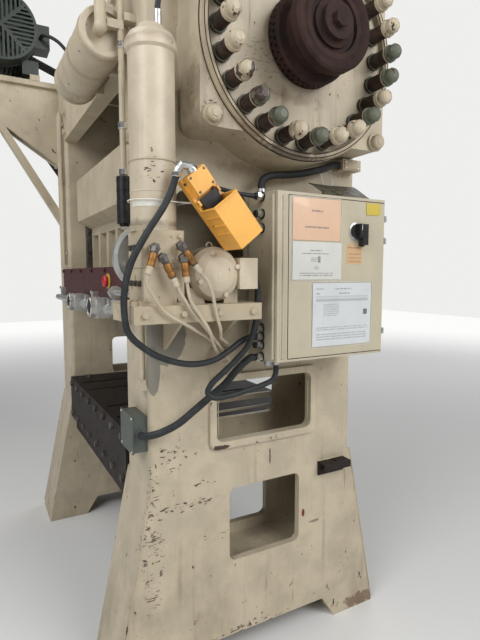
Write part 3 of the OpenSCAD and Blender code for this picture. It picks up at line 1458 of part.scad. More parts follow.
// Base casting of the foot switch with its cable boss
module foot_switch_base() {
  color(signal_yellow) hung() {
    difference() {
      block([-pedal_len / 2, pedal_len / 2], [-pedal_w / 2, pedal_w / 2], [0, 26]);
      block([-pedal_len / 2 + 70, pedal_len / 2 - 12], [-pedal_w / 2 + 10, pedal_w / 2 - 10], [10, 27]);
      for (x = [-pedal_len / 2 + 16, pedal_len / 2 - 6], sy = [-1, 1])
        translate([x, sy * (pedal_w / 2 - 6), -1]) cylinder(h = 28, r = 2.6, $fn = 24);
    }
    block([-pedal_len / 2, -pedal_len / 2 + 66], [-pedal_w / 2 + 12, pedal_w / 2 - 12], [26, 58]);
    for (sy = [-1, 1])
      difference() {
        translate([pivot_at[0] - 9, sy * (pedal_w / 2 - 6) - 4, 20]) cube([18, 8, 20]);
        pivot_rod(pedal_w / 2 + 1, pivot_r + run_gap);
      }
  }
}

// Round bar along the pedal's pivot
module pivot_rod(half, r) {
  translate([pivot_at[0], half, pivot_at[1]]) rotate([90, 0, 0]) cylinder(h = 2 * half, r = r, $fn = 32);
}

// Guard hood over the pedal, open at its upper end
module foot_switch_hood() {
  color(signal_yellow) hung() {
    translate([pedal_len / 2 - hood_len, 0, 26])
      difference() {
        block([0, hood_len], [-pedal_w / 2, pedal_w / 2], [0, hood_h]);
        block([-1, hood_len - sheet_t], [-pedal_w / 2 + sheet_t, pedal_w / 2 - sheet_t],
          [-1, hood_h - sheet_t]);
        translate([hood_len, -pedal_w, hood_h - 3]) rotate([0, 45, 0]) cube([30, 2 * pedal_w, 30]);
      }
  }
}

// Pedal plate on its pivot
module foot_pedal() {
  color(black) hung() {
    block([-pedal_len / 2 + 78, pedal_len / 2 - 40], [-pedal_w / 2 + 14, pedal_w / 2 - 14], [34, 40]);
    pivot_rod(pedal_w / 2 - 3, pivot_r);
    block([pivot_at[0] - 4, pivot_at[0] + 4], [-pedal_w / 2 + 20, pedal_w / 2 - 20], [pivot_at[1], 36]);
  }
}

// Cables, hoses and string
module foot_switch_cable() {
  color(cable_grey) tube(foot_cable_route, cable_d);
}

module machine_cables() {
  color(cable_grey) {
    tube(junction_route, junction_cable_d);
    tube(pump_route, cable_d);
    tube(sensor_route, sensor_cable_d);
    tube(motor_route, cable_d);
    tube(float_route, float_cable_d);
  }
}

module crown_cable() {
  color(cable_grey) tube(crown_route, crown_cable_d);
}

module hydraulic_hoses() {
  color(cream) for (route = hose_routes) tube(route, hose_d);
}

module tie_string() {
  color([0.85, 0.84, 0.80]) tube(tie_route, string_d);
}

right_upright();
left_upright();
crown();
bed();
bolster();
bed_apron();
frame_bolts();
slide_gibs();
crank_bushes();
crankshaft();
left_pitman();
right_pitman();
slide();
brake_housing();
brake_ring();
brake_disc();
spring_cups();
cream_cup_caps();
green_cup_caps();
brake_drum();
side_step();
flywheel();
clutch_unit();
drive_belts();
motor_bracket();
motor_body();
motor_fan_cover();
motor_rotor();
air_tank();
air_pipes();
air_muffler();
unit_shelf();
valve_blocks();
oil_reservoir();
hose_swivels();
pump_wheel();
pump_motor();
enclosure_body();
enclosure_panel();
enclosure_door();
top_clamp();
middle_clamp();
lower_clamp();
disconnect_handle();
cable_glands();
conduit_outlet();
junction_box();
guard_plate();
control_bar();
left_palm_button();
right_palm_button();
stop_button();
foot_switch_base();
foot_switch_hood();
foot_pedal();
foot_switch_cable();
machine_cables();
crown_cable();
hydraulic_hoses();
tie_string();
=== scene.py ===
"""Looks for a straight-side stamping press: paint, rust, rubber, sheet trim, fittings and cords.

All lengths are in metres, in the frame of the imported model: X to the brake side, the operator on
the -Y side, Z up from the floor.
"""

from __future__ import annotations

import logging
import math
from dataclasses import dataclass
from enum import Enum
from functools import partial
from itertools import product
from typing import Callable, Sequence

import bmesh
import bpy
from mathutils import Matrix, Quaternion, Vector


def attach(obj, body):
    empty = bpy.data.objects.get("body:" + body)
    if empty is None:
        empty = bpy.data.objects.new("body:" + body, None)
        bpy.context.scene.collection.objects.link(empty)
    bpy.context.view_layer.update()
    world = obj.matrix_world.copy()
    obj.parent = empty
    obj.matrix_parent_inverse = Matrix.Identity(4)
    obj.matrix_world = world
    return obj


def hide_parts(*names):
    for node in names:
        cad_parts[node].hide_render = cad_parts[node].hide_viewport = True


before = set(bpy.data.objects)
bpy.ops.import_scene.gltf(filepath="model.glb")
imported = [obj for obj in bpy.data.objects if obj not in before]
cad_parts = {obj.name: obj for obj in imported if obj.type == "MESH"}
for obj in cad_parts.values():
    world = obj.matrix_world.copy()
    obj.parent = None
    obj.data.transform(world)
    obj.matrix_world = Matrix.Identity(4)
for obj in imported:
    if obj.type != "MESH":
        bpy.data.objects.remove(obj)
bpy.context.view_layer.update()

log = logging.getLogger("press")

Point = tuple[float, float, float]
Colour = tuple[float, float, float]
Pair = tuple[float, float]


# Nodes and shader maths


def put(tree: bpy.types.NodeTree, socket: bpy.types.NodeSocket, value: object) -> None:
    """Links a field or an output to an input socket, or sets the socket's own value.

    Args:
        tree: the node tree.
        socket: the input socket.
        value: a field, an output, a number, a vector or a colour.
    """
    if isinstance(value, Field):
        value = value.socket
    if isinstance(value, bpy.types.NodeSocket):
        tree.links.new(value, socket)
    elif socket.type == "RGBA" and len(value) == 3:
        socket.default_value = (*value, 1.0)
    else:
        socket.default_value = value


def add_node(tree: bpy.types.NodeTree, kind: str, inputs: dict, output: int | str = 0,
             **settings: str | bool) -> bpy.types.NodeSocket:
    """Adds a node to any tree.

    Args:
        tree: the node tree.
        kind: the node's type name.
        inputs: what goes into it, by socket index or name.
        output: index or name of the output wanted.
        settings: its properties, set before its sockets.

    Returns:
        That output.
    """
    made = tree.nodes.new(kind)
    for key, value in settings.items():
        setattr(made, key, value)
    for key, value in inputs.items():
        put(tree, made.inputs[key], value)
    return made.outputs[output]


def math_operator(operation: str, swapped: bool = False) -> Callable[["Field", "Field | float"], "Field"]:
    """An operator of Field that is one Math node.

    Args:
        operation: the Math node's operation.
        swapped: whether the other operand comes first.

    Returns:
        The operator.
    """
    def apply(self: "Field", other: "Field | float") -> "Field":
        """The Math node's value."""
        values = (other, self) if swapped else (self, other)
        return self.shader.node("ShaderNodeMath", dict(enumerate(values)), operation=operation)

    return apply


class Field:
    """A shader socket that takes part in Python expressions."""

    __add__ = math_operator("ADD")
    __radd__ = math_operator("ADD", swapped=True)
    __sub__ = math_operator("SUBTRACT")
    __rsub__ = math_operator("SUBTRACT", swapped=True)
    __mul__ = math_operator("MULTIPLY")
    __truediv__ = math_operator("DIVIDE")
    __gt__ = math_operator("GREATER_THAN")
    __lt__ = math_operator("LESS_THAN")

    def __init__(self, shader: "Shader", socket: bpy.types.NodeSocket) -> None:
        """Keeps the socket and the shader that it belongs to."""
        self.shader = shader
        self.socket = socket

    def clamp(self) -> "Field":
        """self held between 0 and 1."""
        return self.shader.node("ShaderNodeClamp", {0: self})

    def step(self, low: float, high: float) -> "Field":
        """A smooth rise from 0 where self is low to 1 where it is high."""
        inputs = {0: self, 1: low, 2: high}
        return self.shader.node("ShaderNodeMapRange", inputs, interpolation_type="SMOOTHSTEP", clamp=True)


class Shader:
    """A material's node tree, built by expressions."""

    wander_scale: float = 26.0
    speck_scale: float = 88.0
    speck_range: Pair = (0.585, 0.60)

    def __init__(self, name: str) -> None:
        """Starts a material whose surface is one Principled shader."""
        self.material = bpy.data.materials.new(name)
        self.material.use_nodes = True
        self.tree = self.material.node_tree
        self.surface = self.tree.nodes["Principled BSDF"]

    def node(self, kind: str, inputs: dict, output: int | str = 0, **settings: str | bool) -> Field:
        """Adds any node and gives the output wanted as a field."""
        return Field(self, add_node(self.tree, kind, inputs, output, **settings))

    def set(self, **values: "Field | float | Colour") -> None:
        """Sets the surface's sockets, named with underscores for spaces."""
        for key, value in values.items():
            put(self.tree, self.surface.inputs[key.replace("_", " ")], value)

    def place(self, stretch: Point = (1.0, 1.0, 1.0), shift: Point = (0.0, 0.0, 0.0)) -> Field:
        """Object coordinates, stretched and then shifted along each axis."""
        where = self.node("ShaderNodeTexCoord", {}, "Object")
        return self.node("ShaderNodeMapping", {"Vector": where, "Scale": stretch, "Location": shift})

    def axis(self, index: int) -> Field:
        """One object coordinate: 0 for X, 1 for Y, 2 for Z."""
        return self.node("ShaderNodeSeparateXYZ", {0: self.place()}, index)

    def length(self, vector: Field) -> Field:
        """The length of a vector field."""
        return self.node("ShaderNodeVectorMath", {0: vector}, "Value", operation="LENGTH")

    def noise(self, scale: float, detail: float = 4.0, rough: float = 0.55,
              stretch: Point = (1.0, 1.0, 1.0), shift: Point = (0.0, 0.0, 0.0)) -> Field:
        """Noise on object coordinates.

        Args:
            scale: frequency per metre.
            detail: octaves.
            rough: weight of the finer octaves.
            stretch: scale along each axis.
            shift: offset along each axis.

        Returns:
            A value of about 0.2 to 0.8.
        """
        inputs = {"Vector": self.place(stretch, shift), "Scale": scale, "Detail": detail, "Roughness": rough}
        return self.node("ShaderNodeTexNoise", inputs)

    def near(self, mark: "Mark") -> Field:
        """A ragged patch round a place.

        Args:
            mark: the patch's place, size and edge.

        Returns:
            1 inside, 0 outside.
        """
        stretch = tuple(1.0 / reach for reach in mark.reach)
        shift = tuple(-at * by for at, by in zip(mark.centre, stretch))
        wander = (self.noise(self.wander_scale, 6.0, 0.65) - 0.5) * (3.0 * mark.ragged)
        patch = 1.0 - (self.length(self.place(stretch, shift)) + wander).step(1.0 - mark.soft, 1.0)
        if mark.specks:
            chips = self.noise(self.speck_scale, 4.0, 0.55, (1.0, 0.5, 1.4), (0.0, 9.0, 4.0))
            patch = patch * chips.step(*self.speck_range)
        return patch

    def mix(self, mask: Field, low: "Field | Colour", high: "Field | Colour") -> Field:
        """Colour low where the mask is 0 and high where it is 1."""
        return self.node("ShaderNodeMix", {0: mask, 6: low, 7: high}, 2, data_type="RGBA")

    def bump(self, height: Field, depth: float, strength: float) -> None:
        """Feeds a height, so many metres deep, to the surface's normal."""
        inputs = {"Strength": strength, "Distance": depth, "Height": height}
        self.set(Normal=self.node("ShaderNodeBump", inputs))


# Finishes


@dataclass(frozen=True)
class Mark:
    """A local stain, drip, scar or patch of painted shade: its middle, half sizes, colour, strength and edge,
    or small chips.
    """

    centre: Point
    reach: Point
    colour: Colour
    strength: float = 0.8
    ragged: float = 0.6
    soft: float = 0.2
    specks: bool = False


@dataclass(frozen=True)
class Surface:
    """What every finish has: its material's name and a way to dress that material."""

    name: str

    def dress(self, s: Shader) -> None:
        """Sets the material's surface, each kind of finish in its own way."""
        raise NotImplementedError

    def build(self) -> bpy.types.Material:
        """Makes the material.

        Returns:
            The material.
        """
        shader = Shader(self.name)
        self.dress(shader)
        return shader.material


@dataclass(frozen=True)
class Paint(Surface):
    """Old enamel on cast or welded steel: mottling, grime, rust streaks and chips."""

    colour: Colour
    grime: Colour = (0.165, 0.125, 0.075)
    chip: Colour = (0.035, 0.022, 0.016)
    rust: Colour = (0.24, 0.085, 0.028)
    chips: float = 0.5
    stains: float = 0.5
    gloss: float = 0.42
    lift: float = 0.12
    marks: tuple[Mark, ...] = ()

    def dress(self, s: Shader) -> None:
        """Lays the coat, its soiling, its wear and its marks."""
        cloud = s.noise(9.0, 5.0, 0.6)
        fine = s.noise(120.0, 4.0, 0.6)
        base = self.mottled(s, cloud)
        base, stain, soot = self.soiled(s, base)
        base, chipped = self.worn(s, base)
        for mark in self.marks:
            base = s.mix(s.near(mark) * mark.strength, base, mark.colour)
        s.set(Base_Color=base, Roughness=(self.gloss + soot * 0.25 + stain * 0.15 + fine * 0.08).clamp())
        s.bump(fine * 0.25 + cloud * 0.4 - chipped * 0.8, 0.0012, 0.5)

    def mottled(self, s: Shader, cloud: Field) -> Field:
        """The coat's own colour, a little paler and darker in clouds.

        Args:
            s: the shader.
            cloud: the clouds' noise.

        Returns:
            The colour.
        """
        dark, pale = (tuple(min(1.0, c * (1.0 + by)) for c in self.colour) for by in (-self.lift, self.lift))
        return s.mix(cloud.step(0.35, 0.65) * 0.7 + s.noise(1.7, 3.0) * 0.3, dark, pale)

    def soiled(self, s: Shader, base: Field) -> tuple[Field, Field, Field]:
        """Adds long stains, soot that thickens towards the floor, and rusty drips.

        Args:
            s: the shader.
            base: the colour so far.

        Returns:
            The colour, the stains' mask and the soot's mask.
        """
        stain = s.noise(7.0, 5.0, 0.7, (2.2, 2.2, 0.16), (3.1, 0.7, 0.0)).step(0.56, 0.80) * self.stains
        base = s.mix(stain * 0.75, base, self.grime)
        low = 1.0 - s.axis(2).step(0.02, 0.75)
        soot = (s.noise(5.0, 6.0, 0.65, (1.0, 1.0, 0.5)).step(0.40, 0.75) * (0.25 + low * 0.75)).clamp()
        base = s.mix(soot * 0.7 * self.stains, base, self.grime)
        drip = s.noise(16.0, 4.0, 0.6, (1.6, 1.6, 0.12), (0.0, 5.0, 0.0)).step(0.66, 0.76)
        return s.mix(drip * self.stains, base, self.rust), stain, soot

    def worn(self, s: Shader, base: Field) -> tuple[Field, Field]:
        """Adds flaked patches with rusty rims, and small nicks.

        Args:
            s: the shader.
            base: the colour so far.

        Returns:
            The colour and the flakes' mask.
        """
        patches = s.noise(2.6, 2.0, 0.5, shift=(7.0, 1.0, 2.0)).step(0.45, 0.62)
        flakes = s.noise(46.0, 5.0, 0.55, (1.0, 1.0, 0.55)) + patches * 0.05 * self.chips
        reach = 0.03 * self.chips
        chipped = flakes.step(0.735 - reach, 0.745 - reach)
        rim = flakes.step(0.70 - reach, 0.74 - reach)
        base = s.mix((rim - chipped).clamp() * 0.5, base, self.rust)
        base = s.mix(chipped, base, self.chip)
        nicks = s.noise(150.0, 3.0, 0.5, (1.0, 1.0, 0.4), (2.0, 0.0, 3.0)) + patches * 0.06
        return s.mix(nicks.step(0.775, 0.79) * self.chips, base, self.chip), chipped


@dataclass(frozen=True)
class Rust(Surface):
    """Rusted or oily bare iron."""

    dark: Colour
    light: Colour
    shine: float = 0.0
    rough: float = 0.72
    scale: float = 22.0

    def dress(self, s: Shader) -> None:
        """Lays clouds and grit between the two colours, with bare metal where it is worn."""
        cloud = s.noise(self.scale, 8.0, 0.65)
        grit = s.noise(self.scale * 14.0, 4.0, 0.6)
        base = s.mix((cloud.step(0.32, 0.68) * 0.8 + grit * 0.2).clamp(), self.dark, self.light)
        worn = s.noise(self.scale * 0.4, 3.0, 0.5, shift=(4.0, 2.0, 0.0)).step(0.5, 0.75)
        rough = (self.rough - worn * 0.25 * self.shine + grit * 0.15).clamp()
        s.set(Base_Color=base, Metallic=worn * self.shine, Specular_IOR_Level=0.3, Roughness=rough)
        s.bump(cloud * 0.5 + grit * 0.5, 0.0011, 0.7)


@dataclass(frozen=True)
class Metal(Surface):
    """Plated, cast or machined metal with light soiling."""

    colour: Colour
    soil: Colour = (0.05, 0.045, 0.04)
    soiling: float = 0.4
    rough: float = 0.34

    def dress(self, s: Shader) -> None:
        """Lays soil in clouds over fine-grained metal."""
        cloud = s.noise(30.0, 5.0, 0.6)
        grain = s.noise(420.0, 2.0, 0.5)
        soil = cloud.step(0.48, 0.78) * self.soiling
        rough = (self.rough + soil * 0.4 + grain * 0.12).clamp()
        s.set(Base_Color=s.mix(soil, self.colour, self.soil), Metallic=(1.0 - soil * 0.8).clamp(),
              Roughness=rough)
        s.bump(grain * 0.5 + cloud * 0.5, 0.0004, 0.4)


@dataclass(frozen=True)
class Moulded(Surface):
    """Rubber or plastic with dust on it."""

    colour: Colour
    dust: Colour = (0.20, 0.19, 0.17)
    dusting: float = 0.25
    rough: float = 0.5
    coat: float = 0.0

    def dress(self, s: Shader) -> None:
        """Lays dust in clouds over the plain colour."""
        cloud = s.noise(38.0, 5.0, 0.6)
        fine = s.noise(600.0, 2.0, 0.5)
        dust = cloud.step(0.42, 0.8) * self.dusting
        rough = (self.rough + dust * 0.5 + fine * 0.08).clamp()
        s.set(Base_Color=s.mix(dust, self.colour, self.dust), Coat_Weight=self.coat, Specular_IOR_Level=0.3,
              Roughness=rough)
        s.bump(fine * 0.6 + cloud * 0.4, 0.0003, 0.35)


@dataclass(frozen=True)
class Print:
    """A block of plain bars, or one solid block where it has no rows."""

    left: float
    right: float
    bottom: float
    top: float
    rows: int = 0
    tone: float = 0.7


@dataclass(frozen=True)
class PrintedSheet(Surface):
    """Paper in a clear sleeve, printed with plain bars where the real one has words."""

    paper: Colour
    prints: tuple[Print, ...] = ()
    ink: Colour = (0.10, 0.10, 0.11)

    def dress(self, s: Shader) -> None:
        """Lays the bars on paper that is a little darker in clouds."""
        cloud = s.noise(14.0, 4.0, 0.6)
        base = s.mix(cloud.step(0.3, 0.8) * 0.25, self.paper, tuple(c * 0.72 for c in self.paper))
        y, z = s.axis(1), s.axis(2)
        for block in self.prints:
            mask = (z < block.top) * (z > block.bottom) * (y > block.left) * (y < block.right)
            if block.rows:
                pitch = (block.top - block.bottom) / block.rows
                line = s.node("ShaderNodeMath", {0: (z - block.bottom) / pitch}, operation="FRACT")
                word = s.noise(1.0, 2.0, 0.5, (0.0, 300.0, 0.9 / pitch)).step(0.44, 0.47)
                mask = mask * (line < 0.5) * word
            base = s.mix(mask * block.tone, base, self.ink)
        s.set(Base_Color=base, Roughness=0.38, Coat_Weight=0.35)
        s.bump(cloud, 0.0006, 0.35)


RUSTY: Colour = (0.125, 0.050, 0.019)
# Dark brown of chips and dark stains, also used for the painted shade on the brake housing's front corner.
DARK_STAIN_AND_SHADE: Colour = (0.050, 0.027, 0.017)
BARE: Colour = (0.165, 0.158, 0.135)
UPRIGHT_MARKS = (
    Mark((0.925, -0.405, 1.365), (0.05, 0.080, 0.115), BARE, 0.85, 0.12, 0.04),
    Mark((0.925, -0.455, 1.235), (0.05, 0.026, 0.092), BARE, 0.85, 0.12, 0.04),
    Mark((0.925, 0.215, 0.542), (0.05, 0.010, 0.022), (0.14, 0.018, 0.012), 1.0, 0.3),
    Mark((0.925, 0.275, 0.490), (0.05, 0.030, 0.006), DARK_STAIN_AND_SHADE, 0.6, 0.6),
    Mark((0.925, -0.390, 0.905), (0.05, 0.060, 0.060), DARK_STAIN_AND_SHADE, 1.0, 0.5, specks=True),
    Mark((0.925, -0.320, 0.702), (0.05, 0.150, 0.022), DARK_STAIN_AND_SHADE, 1.0, 0.5, specks=True),
    Mark((0.925, -0.255, 0.775), (0.05, 0.055, 0.016), DARK_STAIN_AND_SHADE, 1.0, 0.5, specks=True),
    Mark((0.925, -0.470, 0.600), (0.05, 0.050, 0.330), DARK_STAIN_AND_SHADE, 0.9, 0.5, specks=True),
    Mark((0.925, -0.185, 0.910), (0.05, 0.045, 0.012), DARK_STAIN_AND_SHADE, 1.0, 0.7),
    Mark((0.925, 0.020, 0.908), (0.05, 0.075, 0.014), DARK_STAIN_AND_SHADE, 1.0, 0.9, specks=True),
    Mark((0.925, 0.042, 0.830), (0.05, 0.006, 0.035), DARK_STAIN_AND_SHADE, 0.8, 0.7),
    Mark((0.925, -0.206, 0.550), (0.05, 0.060, 0.020), DARK_STAIN_AND_SHADE, 0.9, 0.8, specks=True),
    Mark((0.925, -0.060, 0.115), (0.06, 0.190, 0.020), DARK_STAIN_AND_SHADE, 1.0, 0.8, specks=True),
    Mark((0.925, 0.330, 0.400), (0.05, 0.014, 0.260), DARK_STAIN_AND_SHADE, 0.22, 0.4, 0.9),
    Mark((0.925, 0.560, 0.030), (0.10, 0.130, 0.034), RUSTY, 0.65, 0.9),
    Mark((0.925, -0.080, 1.984), (0.08, 0.230, 0.034), RUSTY, 0.34, 0.8, 1.0),
    Mark((0.925, 0.010, 1.950), (0.08, 0.050, 0.060), RUSTY, 0.40, 0.8, 0.8),
    Mark((0.885, -0.487, 1.055), (0.030, 0.03, 0.115), RUSTY, 0.75, 0.3, 0.8),
    Mark((0.925, -0.05, 1.245), (0.05, 0.220, 0.022), DARK_STAIN_AND_SHADE, 0.20, 0.5, 0.9),
)
RING_MARKS = (
    Mark((1.10, -0.02, 2.005), (0.40, 0.24, 0.055), DARK_STAIN_AND_SHADE, 0.75, 0.8, 0.6),
    Mark((1.10, -0.18, 2.06), (0.40, 0.12, 0.060), RUSTY, 0.55, 0.9, 0.6),
)
HOUSING_MARKS_AND_SHADE = (
    Mark((1.10, 0.03, 2.200), (0.12, 0.130, 0.030), RUSTY, 0.35, 0.9, 0.8),
    # Soft dark band round the housing's front corner: painted shade.
    Mark((1.10, -0.335, 2.180), (0.25, 0.022, 0.150), DARK_STAIN_AND_SHADE, 0.35, 0.8, 0.8),
    Mark((1.05, -0.220, 1.998), (0.40, 0.170, 0.016), RUSTY, 0.75, 0.7, 0.7),
    Mark((1.10, -0.300, 2.120), (0.20, 0.040, 0.035), DARK_STAIN_AND_SHADE, 0.9, 0.6, specks=True),
    Mark((1.10, -0.11, 2.290), (0.12, 0.12, 0.13), DARK_STAIN_AND_SHADE, 0.45, 0.6, 0.6, True),
)
RESERVOIR_MARKS = (
    Mark((1.125, -0.507, 1.912), (0.06, 0.034, 0.045), DARK_STAIN_AND_SHADE, 1.0, 0.5, specks=True),
    Mark((1.03, -0.490, 2.292), (0.20, 0.200, 0.016), RUSTY, 0.45, 0.5, 0.9),
    Mark((1.10, -0.600, 2.020), (0.10, 0.020, 0.260), DARK_STAIN_AND_SHADE, 0.20, 0.6, 0.9),
    Mark((1.03, -0.490, 1.735), (0.20, 0.200, 0.020), DARK_STAIN_AND_SHADE, 0.50, 0.6, 0.8),
)


class Finish(Enum):
    """Every finish on the press."""

    CREAM = Paint("cream_enamel", (0.490, 0.420, 0.305), stains=0.72, chips=0.7, marks=UPRIGHT_MARKS)
    CREAM_CLEAN = Paint("cream_enamel_clean", (0.520, 0.448, 0.335), chips=0.5, stains=0.45, gloss=0.36)
    CREAM_HOUSING = Paint("housing_enamel", (0.470, 0.400, 0.290), chips=0.8, stains=0.85,
                          marks=HOUSING_MARKS_AND_SHADE)
    CREAM_RESERVOIR = Paint("reservoir_enamel", (0.520, 0.448, 0.335), chips=0.5, stains=0.55, gloss=0.36,
                            marks=RESERVOIR_MARKS)
    CREAM_STAINED = Paint("cream_enamel_stained", (0.450, 0.375, 0.262), chips=0.8, stains=1.0,
                          marks=RING_MARKS)
    BEIGE = Paint("beige_sheet_paint", (0.455, 0.408, 0.300), chips=0.05, stains=0.18, gloss=0.40, lift=0.05)
    CAP_GREEN = Paint("faded_green_paint", (0.092, 0.104, 0.072), chips=2.8, stains=0.7)
    MOTOR_GREEN = Paint("dark_green_enamel", (0.022, 0.034, 0.026), (0.03, 0.03, 0.025), chips=0.2,
                        stains=0.5, gloss=0.35)
    YELLOW = Paint("yellow_switch_paint", (0.800, 0.400, 0.070), (0.30, 0.115, 0.03), chips=0.75, stains=0.45,
                   gloss=0.38, lift=0.08)
    GUARD_RED = Paint("red_brown_paint", (0.062, 0.012, 0.011), (0.02, 0.01, 0.009), chips=0.3, stains=0.5)
    CAP_CREAM = Paint("worn_cap_enamel", (0.475, 0.405, 0.290), chips=3.6, stains=0.9)
    GREEN_BOX = Paint("grey_green_box_paint", (0.075, 0.088, 0.076), (0.02, 0.02, 0.018), chips=0.4,
                      stains=0.5)
    PRIMER = Paint("grey_primer", (0.30, 0.285, 0.25), chips=0.2, stains=0.3, gloss=0.6)
    OILY_PLATE = Rust("oily_plate", (0.006, 0.005, 0.0045), (0.026, 0.016, 0.012), 0.30, 0.55)
    OILY_STEEL = Rust("oiled_machined_steel", (0.035, 0.030, 0.026), (0.135, 0.120, 0.105), 0.8, 0.48)
    DRUM_RUST = Rust("drum_rust", (0.010, 0.005, 0.004), (0.040, 0.016, 0.011), 0.2, 0.68, 16.0)
    # Also the finish of the painted shadow line inside the enclosure door's edge.
    CUP_RUST_AND_SHADOW = Rust("brown_casting_and_shadow", (0.020, 0.013, 0.010), (0.070, 0.044, 0.031), 0.1, 0.75, 40.0)
    ZINC = Metal("zinc_plate", (0.52, 0.53, 0.52))
    CAST = Metal("bare_aluminium_casting", (0.60, 0.60, 0.58), soiling=0.35, rough=0.42)
    CHROME = Metal("bright_nickel", (0.72, 0.72, 0.70), soiling=0.15, rough=0.16)
    BRASS = Metal("tarnished_brass", (0.34, 0.175, 0.060), (0.07, 0.035, 0.016), 0.9, 0.52)
    ELBOW = Metal("dark_plated_elbow", (0.13, 0.12, 0.11), soiling=0.6, rough=0.4)
    BLACK = Moulded("moulded_black", (0.012, 0.012, 0.013), dusting=0.12, rough=0.36)
    BELT = Moulded("worn_belt_rubber", (0.012, 0.012, 0.012), dusting=0.3, rough=0.6)
    SHEATH = Moulded("grey_black_sheath", (0.020, 0.023, 0.025), (0.10, 0.10, 0.095), 0.25, 0.45)
    HOSE = Paint("painted_hose", (0.47, 0.405, 0.30), chips=0.5, stains=0.5, gloss=0.5)
    STRING = Moulded("white_string", (0.72, 0.70, 0.64), (0.35, 0.31, 0.25), 0.4, 0.85)
    RED = Moulded("red_plastic", (0.48, 0.012, 0.022), dusting=0.08, rough=0.3, coat=0.3)
    PEACH_SHEET = PrintedSheet("peach_paper", (0.66, 0.44, 0.30), (
        Print(0.068, 0.121, 1.804, 1.818, 1), Print(0.039, 0.147, 1.746, 1.759, 1)))
    UPPER_SHEET = PrintedSheet("upper_white_paper", (0.59, 0.59, 0.55), (
        Print(0.062, 0.122, 1.664, 1.672, 1), Print(0.026, 0.150, 1.653, 1.661, 1),
        Print(0.066, 0.096, 1.626, 1.644, 3), Print(0.098, 0.110, 1.622, 1.646),
        Print(0.080, 0.104, 1.598, 1.612, 2), Print(0.016, 0.170, 1.574, 1.590, 2)))
    LARGE_SHEET = PrintedSheet("large_white_paper", (0.58, 0.60, 0.61), (
        Print(0.094, 0.128, 1.524, 1.533, 1), Print(0.180, 0.264, 1.524, 1.533, 1),
        Print(0.197, 0.253, 1.507, 1.516, 1), Print(0.093, 0.110, 1.507, 1.516, 1),
        Print(0.093, 0.345, 1.494, 1.500, 0, 0.22),
        Print(0.093, 0.345, 1.479, 1.490, 0, 0.35), Print(0.128, 0.200, 1.426, 1.474, 7, 0.5),
        Print(0.125, 0.1258, 1.388, 1.476, 0, 0.5), Print(0.322, 0.342, 1.426, 1.447, 0, 0.95),
        Print(0.093, 0.345, 1.372, 1.388, 2, 0.5), Print(0.096, 0.340, 1.336, 1.364, 3, 0.5)))
    ORANGE_LABEL = PrintedSheet("orange_label", (0.58, 0.37, 0.19), (
        Print(0.242, 0.300, 1.678, 1.690, 1), Print(0.244, 0.306, 1.625, 1.668, 3, 0.45)))
    TAG = PrintedSheet("yellow_tag", (0.55, 0.42, 0.06))
    TAPE = Moulded("white_tape", (0.66, 0.64, 0.58), (0.3, 0.28, 0.22), 0.4, 0.5)

    def get(self) -> bpy.types.Material:
        """The finish's material, made once."""
        return bpy.data.materials.get(self.value.name) or self.value.build()


# Mesh making


def framed(axis: Sequence[float]) -> tuple[Vector, Vector, Vector]:
    """Two directions square to an axis, and the axis's own direction."""
    along = Vector(axis).normalized()
    side = along.orthogonal().normalized()
    return side, along.cross(side), along


def smoothed(points: Sequence[Point], steps: int = 6) -> list[Vector]:
    """A smooth curve through given points.

    Args:
        points: the route's points.
        steps: points made for each stretch.

    Returns:
        Points along the curve.
    """
    route = [Vector(p) for p in points]
    ends = [2 * route[0] - route[1], *route, 2 * route[-1] - route[-2]]
    made = []
    for a, b, c, d in zip(ends, ends[1:], ends[2:], ends[3:]):
        k0, k1, k2 = (max((q - p).length, 1e-6) ** 0.5 for p, q in ((a, b), (b, c), (c, d)))
        t0, t1, t2, t3 = 0.0, k0, k0 + k1, k0 + k1 + k2
        for i in range(steps):
            t = t1 + (t2 - t1) * i / steps
            ab = a * ((t1 - t) / (t1 - t0)) + b * ((t - t0) / (t1 - t0))
            bc = b * ((t2 - t) / (t2 - t1)) + c * ((t - t1) / (t2 - t1))
            cd = c * ((t3 - t) / (t3 - t2)) + d * ((t - t2) / (t3 - t2))
            low = ab * ((t2 - t) / (t2 - t0)) + bc * ((t - t0) / (t2 - t0))
            high = bc * ((t3 - t) / (t3 - t1)) + cd * ((t - t1) / (t3 - t1))
            made.append(low * ((t2 - t) / (t2 - t1)) + high * ((t - t1) / (t2 - t1)))
    return [*made, route[-1]]


def length_of(path: Sequence[Vector]) -> float:
    """Length along a path."""
    return sum((b - a).length for a, b in zip(path, path[1:]))


Profile = Sequence[Pair]

USUAL_SHARP, ALL_SMOOTH = 32.0, 80.0


def drum(length: float, radius: float, bevel: float, drop: float, start: float = 0.0) -> Profile:
    """A drum's turned profile with both its edges bevelled.

    Args:
        length: its length.
        radius: its radius.
        bevel: length of each bevel.
        drop: how much smaller the radius is at each end.
        start: where along the axis it starts.

    Returns:
        Distance along the axis and radius, point by point.
    """
    return [(start, radius - drop), (start + bevel, radius), (start + length - bevel, radius),
            (start + length, radius - drop)]


def head(radius: float, height: float, top: float, rise: float) -> Profile:
    """A bolt or screw head's turned profile: straight to a height, then in to the top's radius by a rise."""
    return [(0.0, radius), (height, radius), (height + rise, top)]


